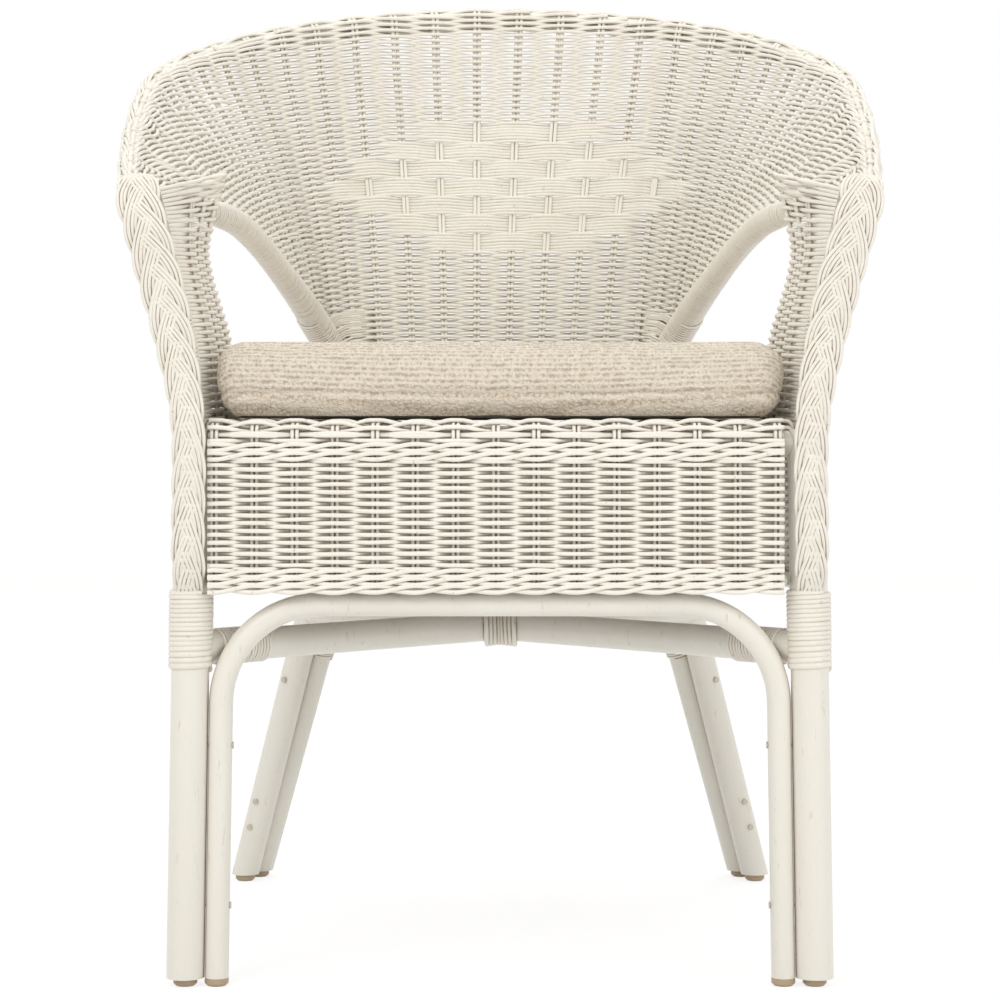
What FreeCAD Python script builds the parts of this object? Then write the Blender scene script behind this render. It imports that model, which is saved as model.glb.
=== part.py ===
"""Wicker armchair: bent rattan poles, woven shell, woven seat and a loose cushion.

Millimetres. X is across the chair, Y runs from the front legs to the back, Z is up.
The model is drawn with the axis of the front legs at Y = 0 and is centred at the end.
"""
import FreeCAD, Part
import math
import os

V = FreeCAD.Vector
UP = V(0, 0, 1)

# Seat
seat_height = 425.0
seat_weave_thickness = 8.0
rail_radius = 10.0
side_rail_front_in = 2.0
side_rail_rear_in = 1.0
bar_radius = 6.0
bar_places = (0.36, 0.7)

# Front legs and their hoop
glide_height = 6.0
glide_radius = 9.0
leg_radius = 14.25
front_leg_foot_half = 236.0
front_leg_top_half = 229.5
hoop_radius = 9.0
hoop_bend = 75.0
hoop_drop = 11.5

# Rear legs and their hoop
rear_radius = 12.25
rear_foot = V(236.0, 472.0, glide_height)
rear_top = V(129.8, 389.4, 416.7)
rear_hoop_foot_side = V(-11.0, 23.4, 0.0)
rear_hoop_top_side = V(-20.5, 15.7, 0.0)
rear_hoop_drop = 50.0
rear_hoop_bend = 50.0

# Cross braces
brace_radius = 12.2
brace_height = 252.5

# Woven walls
wall = 8.0
apron_low = 297.0
apron_high = seat_height - seat_weave_thickness - 0.3
apron_corner_low = V(184.0, 431.0, apron_low)
apron_corner_high = V(149.0, 411.0, apron_high)
apron_side_front_half = 228.0
ring_radius = 5.0
ring_rise = 7.0
weave_play = 1.0
ring_height = apron_low + ring_rise
hoop_height = apron_low - hoop_drop
rear_hoop_height = apron_low - rear_hoop_drop

# Shell of the back and arms
back_sections = 17
back_columns = 18.0

# Rim of the arms and back
rim_half_width = 299.0
rim_tip_half = 277.0
rim_side_depth = 260.0
rim_back_depth = 235.0
rim_tip_height = 589.0
rim_slope = 0.43
rim_pole_radius = 6.0
rim_plait_radius = 10.5
rim_start_y = 26.0

# Lower edge of the back: seat line, then the slanting poles up to the arm panels
back_foot_y = 411.0
back_foot_height = 427.0
back_foot_half = 112.0
stake_count = 19
foot_stakes = 4
edge_points = [
    V(120, 411, 434), V(155, 402, 496), V(182, 310, 543), V(209, 165, 581), V(230, 98, 589),
    V(258, 18, 590),
]
edge_wrap_count = 5
edge_pole_radius = 6.0
edge_wrap_radius = 10.0

# Arms
arm_pole_radius = 7.0
arm_wrap_radius = 8.5
arm_pole_points = [
    V(229.5, 0, 417.3), V(237, 0, 490), V(262, 1, 571),
]
arm_wrap_count = 3
panel_low = 425.6
panel_high = 582.0
panel_front_y = 11.0
panel_rear_y = 95.0
panel_front_half = 226.0
panel_rear_half = 205.0
panel_front_lean = 24.0
panel_rear_lean = 34.0
plait_width = 25.0
plait_depth = 9.5
plait_sides = 10
plait_points = [
    V(234, -23.4, 298), V(235, -23.4, 425), V(248, -15.5, 500), V(266, -15, 563), V(279, -9.5, 599),
]

# Bindings
cane_radius = 1.7
cane_gap = 0.7
leg_binding_loops = 6
leg_binding_low = 268.0
brace_binding_loops = 7
brace_end_loops = 3
brace_end_place = 0.115

# Nails
nail_radius = 1.2
nail_grip = 12.0
nail_head_radius = 2.6
nail_head_height = 1.0
nail_play = 0.1
nail_lift = 0.9
front_nail_heights = (60.0, 180.0)
rear_nail_heights = (52.0, 76.0, 190.0)

# Cushion
cushion_height = 57.0
cushion_front_half = 211.0
cushion_rear_half = 131.0
cushion_front_y = -2.0
cushion_rear_y = 392.0
cushion_corner = 34.0
cushion_least_corner = 12.0
cushion_pull = 4.0
cushion_levels = [
    (0.0, 12.0), (0.06, 5.0), (0.18, 1.5), (0.35, 0.0), (0.6, 0.0),
    (0.76, 2.5), (0.88, 9.0), (0.95, 20.0), (1.0, 60.0),
]
cover_thickness = 2.5
base_thickness = 1.0
base_inset = 12.0

# Clearance between neighbours that are not fastened face to face
clearance = 0.3

NODES = {}


def mirrored(shape):
    """The same piece on the other side of the chair."""
    return shape.mirror(V(0, 0, 0), V(1, 0, 0))


def pair(name, shape):
    """A left piece, and its mirror image on the right."""
    NODES[name + "_left"] = shape
    NODES[name + "_right"] = mirrored(shape)


def left(point):
    """A point given for the right side, on the left side."""
    return V(-point.x, point.y, point.z)


def rod(start, end, radius, grow=0.0):
    """Straight round pole from start to end, made longer by grow at each end."""
    along = (end - start).normalize()
    start = start - along * grow
    return Part.makeCylinder(radius, (end + along * grow - start).Length, start, along)


def largest(shape):
    """The biggest solid of a cut, so that no offcut stays."""
    return max(shape.Solids, key=lambda solid: solid.Volume)


def arc_between(start, corner, end):
    """Arc from start to end that is tangent to the two lines that meet at corner."""
    middle = (start + end) * 0.5
    rise = (corner - middle).Length
    half = (end - start).Length / 2
    if rise < 1e-4 * half:
        return Part.LineSegment(start, end).toShape()
    sagitta = half * math.tan(math.atan2(rise, half) / 2)
    return Part.Arc(start, middle + (corner - middle) * (sagitta / rise), end).toShape()


def biarc(start, start_way, end, end_way):
    """Two tangent arcs from start to end with the given directions at the ends."""
    gap = end - start
    ways = start_way + end_way
    turn = 2 * (1 - start_way.dot(end_way))
    if turn < 1e-6:
        reach = gap.Length / 4
    else:
        lean = gap.dot(ways)
        reach = (-lean + math.sqrt(lean * lean + turn * gap.dot(gap))) / turn
    first = start + start_way * reach
    second = end - end_way * reach
    middle = (first + second) * 0.5
    return [arc_between(start, first, middle), arc_between(middle, second, end)]


def directions(points):
    """Unit tangent at each point of a smooth line through the points."""
    ways = []
    for i, point in enumerate(points):
        before = points[max(i - 1, 0)]
        after = points[min(i + 1, len(points) - 1)]
        ways.append((after - before).normalize())
    return ways


def smooth_wire(points, ways=None):
    """Tangent arcs through the points."""
    ways = ways or directions(points)
    edges = []
    for i in range(len(points) - 1):
        edges += biarc(points[i], ways[i], points[i + 1], ways[i + 1])
    return Part.Wire(edges)


def bent_pole(wire, radius, way):
    """Round pole along a wire that starts in the direction way."""
    start = wire.Edges[0].firstVertex().Point
    ring = Part.Wire(Part.makeCircle(radius, start, way))
    return wire.makePipeShell([ring], True, False)


def sleeve(wire, outer, inner, way):
    """Round tube along a wire."""
    return bent_pole(wire, outer, way).cut(bent_pole(wire, inner, way))


def hoop_wire(foot, shoulder, bend):
    """Wire up from a foot, round two bends and down to the mirrored foot."""
    other_foot = left(foot)
    other_shoulder = left(shoulder)
    corners = [foot, shoulder, other_shoulder, other_foot]
    edges = []
    here = foot
    for i in (1, 2):
        back = (corners[i - 1] - corners[i]).normalize()
        ahead = (corners[i + 1] - corners[i]).normalize()
        inner = back.getAngle(ahead)
        trim = bend / math.tan(inner / 2)
        enter = corners[i] + back * trim
        leave = corners[i] + ahead * trim
        edges.append(Part.LineSegment(here, enter).toShape())
        edges.append(arc_between(enter, corners[i], leave))
        here = leave
    edges.append(Part.LineSegment(here, other_foot).toShape())
    return Part.Wire(edges)


def winding(centre, axis, across, loops, reach, depth, parts_of_turn=2):
    """Cane wound round an axis, one unbroken strip of six-sided section.

    across is the direction of reach, and depth is square to it. Both give the half
    size of a loop at a place along the axis.
    """
    pitch = 2 * cane_radius + cane_gap
    deep = axis.cross(across)

    def place(turns):
        along = (turns - loops / 2) * pitch
        angle = turns * 2 * math.pi
        side = across * (reach(along) * math.cos(angle))
        return centre + axis * along + side + deep * (depth(along) * math.sin(angle))

    marks = [step / parts_of_turn for step in range(loops * parts_of_turn + 1)]
    points = [place(mark) for mark in marks]
    ways = [(place(mark + 0.002) - place(mark - 0.002)).normalize() for mark in marks]
    report_gap(loops, place)
    sides = 6
    corner = axis.cross(ways[0]).normalize() * cane_radius
    turn = FreeCAD.Rotation(ways[0], 360 / sides)
    ring = [points[0] + corner]
    for _ in range(sides):
        corner = turn.multVec(corner)
        ring.append(points[0] + corner)
    return smooth_wire(points, ways).makePipeShell([Part.makePolygon(ring)], True, False)


def report_gap(loops, place):
    """Prints the least gap of a winding to itself, measured on points."""
    count = 40
    gaps = []
    for i in range((loops - 1) * count):
        here = place(i / count)
        gaps += [(place((i + count + j) / count) - here).Length for j in range(-10, 11)]
    print("winding of", loops, "loops, least gap", round(min(gaps) - 2 * cane_radius, 2))


def front_leg_axis():
    """Foot and top of the left front leg."""
    foot = V(-front_leg_foot_half, 0, glide_height)
    top = V(-front_leg_top_half, 0, seat_height - seat_weave_thickness)
    return foot, top


def on_line(start, end, height):
    """The point of a line at a height."""
    return start + (end - start) * ((height - start.z) / (end.z - start.z))


def rear_leg_axis():
    """Foot and top of the left rear leg."""
    return left(rear_foot), left(rear_top)


def rear_hoop_axis():
    """Foot and shoulder of the left leg of the rear hoop."""
    foot = left(rear_foot + rear_hoop_foot_side)
    top = left(rear_top + rear_hoop_top_side)
    return foot, on_line(foot, top, rear_hoop_height)


def flat_ends(shape, low, high):
    """The part of a shape between two heights."""
    size = 2000.0
    slab = Part.makeBox(size, size, high - low, V(-size / 2, -size / 2, low))
    return largest(shape.common(slab))


def legs():
    """Front and rear legs with their hoops."""
    foot, top = front_leg_axis()
    pair("front_leg", flat_ends(rod(foot, top, leg_radius, leg_radius), foot.z, top.z))

    lean = (top - foot).normalize()
    inside = leg_radius + hoop_radius + clearance
    hoop_foot = foot + V(inside, 0, 0)
    shoulder = on_line(foot, top, hoop_height) + V(inside, 0, 0)
    under = hoop_foot - lean * hoop_radius
    hoop = bent_pole(hoop_wire(under, shoulder, hoop_bend), hoop_radius, lean)
    NODES["front_hoop"] = flat_ends(hoop, foot.z, seat_height)

    foot, top = rear_leg_axis()
    pair("rear_leg", flat_ends(rod(foot, top, rear_radius, 2 * rear_radius), foot.z, top.z))
    foot, shoulder = rear_hoop_axis()
    under = foot + (foot - shoulder).normalize() * rear_radius
    hoop = bent_pole(hoop_wire(under, shoulder, rear_hoop_bend), rear_radius, shoulder - foot)
    NODES["rear_hoop"] = flat_ends(hoop, foot.z, seat_height)


def glides():
    """Domed discs under the eight pole ends."""
    foot = front_leg_axis()[0]
    spots = [foot, foot + V(leg_radius + hoop_radius + clearance, 0, 0)]
    spots += [rear_leg_axis()[0], rear_hoop_axis()[0]]
    dome = 2.0
    flat = glide_radius - dome
    profile = Part.makePolygon([
        V(0, 0, 0), V(flat, 0, 0), V(glide_radius, 0, dome),
        V(glide_radius, 0, glide_height), V(0, 0, glide_height), V(0, 0, 0),
    ])
    disc = Part.Face(profile).revolve(V(0, 0, 0), UP, 360)
    solids = []
    for spot in spots:
        glide = disc.copy()
        glide.translate(V(spot.x, spot.y, 0))
        solids += [glide, mirrored(glide)]
    NODES["foot_glides"] = Part.Compound(solids)


def brace_line():
    """Ends of the brace from the left front leg to the right rear leg."""
    start = on_line(*front_leg_axis(), brace_height)
    end = left(on_line(*rear_leg_axis(), brace_height))
    return start, end


def braces():
    """Two braces, each cut to half its thickness where they cross."""
    start, end = brace_line()
    first = rod(start, end, brace_radius)
    second = mirrored(first)
    gap = clearance
    foot, top = front_leg_axis()
    cutters = [rod(foot, top, leg_radius + gap, leg_radius)]
    foot, top = rear_leg_axis()
    cutters.append(rod(foot, top, rear_radius + gap, leg_radius))
    foot, top = rear_hoop_axis()
    cutters.append(rod(foot, top, rear_radius + gap, leg_radius))
    for cutter in cutters:
        for tool in (cutter, mirrored(cutter)):
            first = largest(first.cut(tool))
            second = largest(second.cut(tool))
    size = 8 * brace_radius
    corner = V(-size / 2, on_line_y(start, end) - size / 2, brace_height)
    upper = Part.makeBox(size, size, brace_radius + 1, corner)
    lower = Part.makeBox(size, size, brace_radius + 1, corner - V(0, 0, brace_radius + 1))
    crossing = rod(start, end, brace_radius + gap / 2)
    NODES["cross_brace_lower"] = largest(first.cut(mirrored(crossing).common(upper)))
    NODES["cross_brace_upper"] = largest(second.cut(crossing.common(lower)))


def on_line_y(start, end):
    """Depth at which a line crosses the middle of the chair."""
    return start.y + (end.y - start.y) * (-start.x) / (end.x - start.x)


def seat_frame():
    """Rails between the legs at seat height, and two bars under the woven seat."""
    height = seat_height - seat_weave_thickness - rail_radius - clearance
    front = on_line(*front_leg_axis(), height)
    rear = on_line(*rear_leg_axis(), height)
    front_post = rod(*front_leg_axis(), leg_radius + clearance, 1.0)
    rear_post = rod(*rear_leg_axis(), rear_radius + clearance, rear_radius)
    posts = [front_post, mirrored(front_post), rear_post, mirrored(rear_post)]

    def between(start, end, radius, tools):
        shape = rod(start, end, radius)
        for tool in tools:
            shape = largest(shape.cut(tool))
        return shape

    NODES["seat_rail_front"] = between(front, left(front), rail_radius, posts)
    NODES["seat_rail_rear"] = between(rear, left(rear), rail_radius, posts)
    start = front + V(leg_radius + clearance + side_rail_front_in, 0, 0)
    end = rear + V(side_rail_rear_in, 0, 0)
    side = between(start, end, rail_radius, posts[:1] + posts[2:3])
    side = largest(side.cut(rod(front, left(front), rail_radius + clearance)))
    side = largest(side.cut(rod(rear, left(rear), rail_radius + clearance)))
    pair("seat_rail", side)
    front, rear = start, end
    rail = rod(front, rear, rail_radius + clearance)
    rise = V(0, 0, rail_radius - bar_radius)
    for name, share in zip(("front", "rear"), bar_places):
        end = front + (rear - front) * share + rise
        tools = [rail, mirrored(rail)]
        NODES["seat_bar_" + name] = between(end, left(end), bar_radius, tools)


def slab(corners, low, high):
    """Flat plate with the given plan."""
    points = [V(x, y, low) for x, y in corners]
    face = Part.Face(Part.makePolygon(points + points[:1]))
    return face.extrude(V(0, 0, high - low))


def seat():
    """Woven top of the seat, notched round the legs."""
    half = apron_side_front_half + wall / 2
    rear_half = apron_corner_high.x
    rear_y = apron_corner_high.y + wall / 2
    front_y = apron_front_y() - wall / 2
    low = seat_height - seat_weave_thickness
    plan = [(-half, front_y), (half, front_y), (rear_half, rear_y), (-rear_half, rear_y)]
    top = slab(plan, low, seat_height)
    foot = left(arm_pole_points[0]) - UP * seat_weave_thickness
    hole = rod(foot, foot + UP * 3 * seat_weave_thickness, arm_wrap_radius + 2 * clearance)
    for tool in (hole, mirrored(hole)):
        top = largest(top.cut(tool))
    NODES["seat_weave"] = top


def plank(first, second, across):
    """Wall between two edges, each given by its lower and upper end, thick along across."""
    wires = []
    for (low, high), way in zip((first, second), across):
        side = way * (wall / 2)
        corners = [low - side, low + side, high + side, high - side]
        wires.append(Part.makePolygon(corners + corners[:1]))
    return Part.makeLoft(wires, True, True)


def apron_front_y():
    """Depth of the middle of the front apron, which lies on the front rail."""
    return -(rail_radius + clearance + wall / 2)


def apron():
    """Woven skirt of four walls, with the ring of thin poles along its lower border."""
    y = apron_front_y()
    half = front_leg_top_half - leg_radius - weave_play
    low = V(-half, y, apron_low)
    high = V(-half, y, apron_high)
    ends = ((low, high), (left(low), left(high)))
    NODES["apron_weave_front"] = plank(*ends, (V(0, 1, 0), V(0, 1, 0)))

    inset = V(wall / 2 + clearance, 0, 0)
    low = apron_corner_low
    high = apron_corner_high
    ends = ((left(low), left(high)), (low, high))
    NODES["apron_weave_rear"] = plank(*ends, (V(0, 1, 0), V(0, 1, 0)))

    start_y = leg_radius + 2 * clearance + weave_play
    front = V(-apron_side_front_half, start_y, apron_low)
    front_high = V(-apron_side_front_half, start_y, apron_high)
    back = V(0, wall / 2 + clearance, 0)
    rear_low = left(low) + inset - back
    rear_high = left(high) + inset - back
    ends = ((front, front_high), (rear_low, rear_high))
    pair("apron_weave", plank(*ends, (V(1, 0, 0), V(1, 0, 0))))

    inside = wall / 2 + ring_radius + clearance
    share = (ring_height - apron_low) / (apron_high - apron_low)
    corner = apron_corner_low + (apron_corner_high - apron_corner_low) * share
    behind = corner.y - inside
    front_y = apron_front_y() + inside
    tools = [rod(*front_leg_axis(), leg_radius + clearance, 1.0)]
    tools.append(rod(*rear_leg_axis(), rear_radius + clearance, 1.0))
    tools += [mirrored(tool) for tool in tools]

    def ring_pole(start, end):
        shape = rod(start, end, ring_radius)
        for tool in tools:
            shape = largest(shape.cut(tool))
        return shape

    start = V(-half, front_y, ring_height)
    NODES["apron_ring_front"] = ring_pole(start, left(start))
    inside_rear = inside + wall / 2 + 2 * clearance
    start = V(-corner.x + inside_rear, behind, ring_height)
    NODES["apron_ring_rear"] = ring_pole(start, left(start))
    start = V(-apron_side_front_half + inside + clearance, start_y, ring_height)
    end = V(-corner.x + inside_rear, behind - 2 * ring_radius, ring_height)
    pair("apron_ring", ring_pole(start, end))


def rim_point(share):
    """Point of the rim's centre line; share runs from 0 at the left tip to 1 at the right."""
    side = rim_side_depth
    quarter = math.pi / 2 * math.sqrt((rim_half_width ** 2 + rim_back_depth ** 2) / 2)
    length = 2 * (side + quarter)
    travel = min(share, 1 - share) * length
    if travel < side:
        y = travel
        x = rim_half_width - (rim_half_width - rim_tip_half) * ((side - y) / side) ** 2
    else:
        angle = (travel - side) / quarter * math.pi / 2
        x = rim_half_width * math.cos(angle)
        y = side + rim_back_depth * math.sin(angle)
    sign = -1 if share < 0.5 else 1
    return V(sign * x, y, rim_tip_height + rim_slope * y)


def polyline_point(points, travel):
    """Point at a distance along straight runs."""
    for start, end in zip(points, points[1:]):
        run = (end - start).Length
        if travel <= run or end is points[-1]:
            return start + (end - start) * (travel / run)
        travel -= run
    return points[-1]


def foot_point(share):
    """Point of the lower edge of the back that belongs to the rim point of the same share."""
    column = abs(0.5 - share) * 2 * stake_count
    edge = edge_points
    half = back_foot_half
    if column <= foot_stakes:
        point = V(half * column / foot_stakes, back_foot_y, back_foot_height)
    else:
        runs = [V(half, back_foot_y, back_foot_height)] + edge
        length = sum((b - a).Length for a, b in zip(runs, runs[1:]))
        travel = length * (column - foot_stakes) / (stake_count - foot_stakes)
        point = polyline_point(runs, travel)
    return left(point) if share < 0.5 else point


def wall_point(share, rise):
    """Point in the middle of the flared wall; rise runs from 0 at its foot to 1 at the rim."""
    low = foot_point(share)
    high = rim_point(share)
    flare = 0.5 * rise + 0.5 * rise * rise
    return V(
        low.x + (high.x - low.x) * flare,
        low.y + (high.y - low.y) * flare,
        low.z + (high.z - low.z) * rise,
    )


def wall_side(share, rise):
    """Unit vector square to the wall within its upright section, pointing out of the chair."""
    step = 0.01
    up = (wall_point(share, rise + step) - wall_point(share, rise - step)).normalize()
    level = V(up.x, up.y, 0)
    return level.normalize() * up.z - UP * math.hypot(up.x, up.y)


def back():
    """Flared shell of the back and arms, coped to the rim and to the slanting poles."""
    wires = []
    for i in range(back_sections):
        column = back_columns * (2 * i / (back_sections - 1) - 1)
        share = 0.5 + column / (2 * stake_count)
        inner = []
        outer = []
        for k in range(4):
            rise = k / 3
            middle = wall_point(share, rise)
            side = wall_side(share, rise) * (wall / 2)
            inner.append(middle - side)
            outer.append(middle + side)
        inner_edge = Part.BSplineCurve()
        inner_edge.interpolate(inner)
        outer_edge = Part.BSplineCurve()
        outer_edge.interpolate(outer[::-1])
        wires.append(Part.Wire([
            inner_edge.toShape(),
            Part.LineSegment(inner[-1], outer[-1]).toShape(),
            outer_edge.toShape(),
            Part.LineSegment(outer[0], inner[0]).toShape(),
        ]))
    shell = Part.makeLoft(wires, True, False)
    wire, ways = rim_wire()
    tools = [bent_pole(wire, rim_plait_radius + clearance, ways[0])]
    points, ways = edge_line()
    edge = bent_pole(smooth_wire(points, ways), edge_wrap_radius + clearance, ways[0])
    tools += [edge, mirrored(edge)]
    for tool in tools:
        shell = largest(shell.cut(tool))
    NODES["back_weave"] = shell


def edge_line():
    """Points and directions of the left slanting pole."""
    points = [left(point) for point in edge_points]
    return points, directions(points)


def rim_wire():
    """Centre line of the rim and its directions at the joints of its arcs."""
    quarter = math.pi / 2 * math.sqrt((rim_half_width ** 2 + rim_back_depth ** 2) / 2)
    length = 2 * (rim_side_depth + quarter)
    start = rim_start_y / length
    bend = rim_side_depth / length
    shares = [start, bend, 0.5, 1 - bend, 1 - start]
    points = [rim_point(share) for share in shares]
    step = 0.002
    ways = [(rim_point(s + step) - rim_point(s - step)).normalize() for s in shares]
    return smooth_wire(points, ways), ways


def rim():
    """Pole of the rim and the plait round it."""
    wire, ways = rim_wire()
    NODES["rim_pole"] = bent_pole(wire, rim_pole_radius, ways[0])
    bore = rim_pole_radius + clearance
    NODES["rim_plait"] = sleeve(wire, rim_plait_radius, bore, ways[0])


def slanting_edges():
    """Pole under each side edge of the back, and the cane wound on it."""
    points, ways = edge_line()
    pair("back_edge_pole", bent_pole(smooth_wire(points, ways), edge_pole_radius, ways[0]))
    wire = smooth_wire(points[:edge_wrap_count], ways[:edge_wrap_count])
    pair("back_edge_wrap", sleeve(wire, edge_wrap_radius, edge_pole_radius + clearance, ways[0]))


def arms():
    """Arm poles with their wrap, woven panels and front plaits."""
    wire, rim_ways = rim_wire()
    tip = wire.Edges[0].firstVertex().Point - rim_ways[0] * clearance
    points = [left(point) for point in arm_pole_points] + [tip]
    ways = directions(points)
    ways[0] = UP
    ways[-1] = rim_ways[0]
    pair("arm_pole", bent_pole(smooth_wire(points, ways), arm_pole_radius, ways[0]))
    wrapped = smooth_wire(points[:arm_wrap_count], ways[:arm_wrap_count])
    bore = arm_pole_radius + clearance
    pair("arm_pole_wrap", sleeve(wrapped, arm_wrap_radius, bore, ways[0]))
    panel()

    points = [left(point) for point in plait_points]
    ways = directions(points)
    ways[0] = UP
    wire = smooth_wire(points, ways)
    start = points[0]
    corners = []
    for i in range(plait_sides + 1):
        angle = 2 * math.pi * (i + 0.5) / plait_sides
        corners.append(start + V(plait_width / 2 * math.cos(angle), plait_depth / 2 * math.sin(angle), 0))
    bow = Part.makePolygon(corners)
    pair("front_plait", wire.makePipeShell([bow], True, False))


def panel():
    """Woven strip between the front edge of the arm and the side opening."""
    wires = []
    levels = 4
    for i in range(levels):
        height = panel_low + (panel_high - panel_low) * i / (levels - 1)
        lean = (height - panel_low) / (panel_high - panel_low)
        front = V(-(panel_front_half + panel_front_lean * lean ** 1.6), panel_front_y, height)
        rear = V(-(panel_rear_half + panel_rear_lean * lean ** 1.6), panel_rear_y, height)
        side = (rear - front).cross(UP).normalize() * (wall / 2)
        corners = [front - side, rear - side, rear + side, front + side]
        wires.append(Part.makePolygon(corners + corners[:1]))
    pair("arm_panel", Part.makeLoft(wires, True, False))


def bindings():
    """Cane bindings on the front legs, on the braces behind them and where the braces cross."""
    play = clearance + cane_radius
    pitch = 2 * cane_radius + cane_gap
    foot, top = front_leg_axis()
    axis = (top - foot).normalize()
    centre = on_line(foot, top, leg_binding_low + leg_binding_loops * pitch / 2)

    def round_leg(along):
        return leg_radius + play

    leg = winding(centre, axis, V(0, -1, 0), leg_binding_loops, round_leg, round_leg)
    NODES["leg_bindings"] = Part.Compound([leg, mirrored(leg)])

    start, end = brace_line()
    axis = (end - start).normalize()

    def round_brace(along):
        return brace_radius + play

    centre = start + (end - start) * brace_end_place
    short = winding(centre, axis, UP, brace_end_loops, round_brace, round_brace)

    lean = axis.y / axis.x
    centre = V(0, on_line_y(start, end), brace_height)

    def reach(along):
        return brace_radius / axis.x + play + (abs(along) + cane_radius) * lean

    def depth(along):
        return (brace_radius + 2 * play) / math.sqrt(1 - (along * lean / reach(along)) ** 2)

    crossing = winding(centre, V(1, 0, 0), V(0, 1, 0), brace_binding_loops, reach, depth, 4)
    NODES["brace_bindings"] = Part.Compound([short, mirrored(short), crossing])


def nails():
    """Nails through the legs of the hoops into the legs of the chair."""
    driven = []
    foot, top = front_leg_axis()
    through = 2 * hoop_radius + clearance
    for height in front_nail_heights:
        spot = on_line(foot, top, height) + V(leg_radius + through, 0, 0)
        driven.append((spot, V(-1, 0, 0), through + nail_grip, ("front_hoop", "front_leg")))
    foot, top = rear_leg_axis()
    hoop_foot, hoop_top = rear_hoop_axis()
    for height in rear_nail_heights:
        middle = on_line(foot, top, height)
        way = (on_line(hoop_foot, hoop_top, height) - middle).normalize()
        spot = middle - way * (rear_radius + nail_lift)
        length = 2 * rear_radius + nail_lift + nail_grip
        driven.append((spot, way, length, ("rear_hoop", "rear_leg")))
    solids = []
    for spot, way, length, (hoop, leg) in driven:
        head = Part.makeCylinder(nail_head_radius, nail_head_height, spot - way * nail_head_height, way)
        solids.append(head.fuse(Part.makeCylinder(nail_radius, length, spot, way)))
        start = spot - way * nail_head_height
        depth = nail_head_height + length + nail_play
        bore = Part.makeCylinder(nail_radius + nail_play, depth, start, way)
        for tool, side in ((bore, "_left"), (mirrored(bore), "_right")):
            NODES[hoop] = largest(NODES[hoop].cut(tool))
            NODES[leg + side] = largest(NODES[leg + side].cut(tool))
    NODES["frame_nails"] = Part.Compound(solids + [mirrored(solid) for solid in solids])


def cushion_outline(inset, height):
    """Closed outline of the cushion with bowed-in sides and rounded corners."""
    front = cushion_front_y + inset
    rear = cushion_rear_y - inset
    front_half = cushion_front_half - inset
    rear_half = cushion_rear_half - inset
    corners = [V(-front_half, front, height), V(front_half, front, height),
               V(rear_half, rear, height), V(-rear_half, rear, height)]
    centre = V(0, (front + rear) / 2, height)
    radius = max(cushion_corner - inset, cushion_least_corner)
    ends = []
    for i, corner in enumerate(corners):
        back = (corners[i - 1] - corner).normalize()
        ahead = (corners[(i + 1) % 4] - corner).normalize()
        trim = radius / math.tan(back.getAngle(ahead) / 2)
        ends.append((corner + back * trim, corner, corner + ahead * trim))
    edges = []
    for i, (enter, corner, leave) in enumerate(ends):
        edges.append(arc_between(enter, corner, leave))
        target = ends[(i + 1) % 4][0]
        middle = (leave + target) * 0.5
        pull = (centre - middle).normalize() * cushion_pull
        edges.append(Part.Arc(leave, middle + pull, target).toShape())
    return Part.Wire(edges)


def pillow(shrink):
    """Crowned form of the cushion, smaller by shrink all round."""
    low = seat_height + base_thickness + clearance + shrink
    high = seat_height + cushion_height - shrink
    span = high - low
    wires = [cushion_outline(inset + shrink, low + span * rise) for rise, inset in cushion_levels]
    return Part.makeLoft(wires, True, True)


def cushion():
    """Loose cushion: cover, foam and dark cloth underneath."""
    NODES["cushion_cover"] = pillow(0.0).cut(pillow(cover_thickness))
    NODES["cushion_foam"] = pillow(cover_thickness + clearance)
    outline = cushion_outline(base_inset, seat_height + clearance)
    base = Part.Face(outline).extrude(V(0, 0, base_thickness - clearance))
    NODES["cushion_base"] = base


def main():
    """Builds every piece, centres the chair on its floor box and writes the files."""
    legs()
    glides()
    braces()
    seat_frame()
    seat()
    apron()
    back()
    rim()
    slanting_edges()
    arms()
    bindings()
    nails()
    cushion()
    box = FreeCAD.BoundBox()
    for shape in NODES.values():
        box.add(shape.optimalBoundingBox(False, False))
    shift = V(0, -(box.YMin + box.YMax) / 2, 0)
    print("shift", round(shift.y, 3), "size", box.XLength, box.YLength, box.ZLength)
    os.makedirs("parts", exist_ok=True)
    for name, shape in NODES.items():
        placed = shape.copy()
        placed.translate(shift)
        if not placed.isValid():
            print("not valid:", name)
        placed.exportStep("parts/" + name + ".step")


main()
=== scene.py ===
"""Wicker armchair: woven shell, plaits, cane wraps, painted poles and a loose cushion.

Lines are drawn in millimetres with the axes of the front legs at Y = 0, as the solids
are, and every mesh is placed in metres in the chair's frame.
"""
import bisect
import logging
import math
from dataclasses import dataclass, field, replace
from enum import Enum
from typing import Callable, Iterable, Optional, Sequence

import bmesh
import bpy
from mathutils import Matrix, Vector, noise


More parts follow.
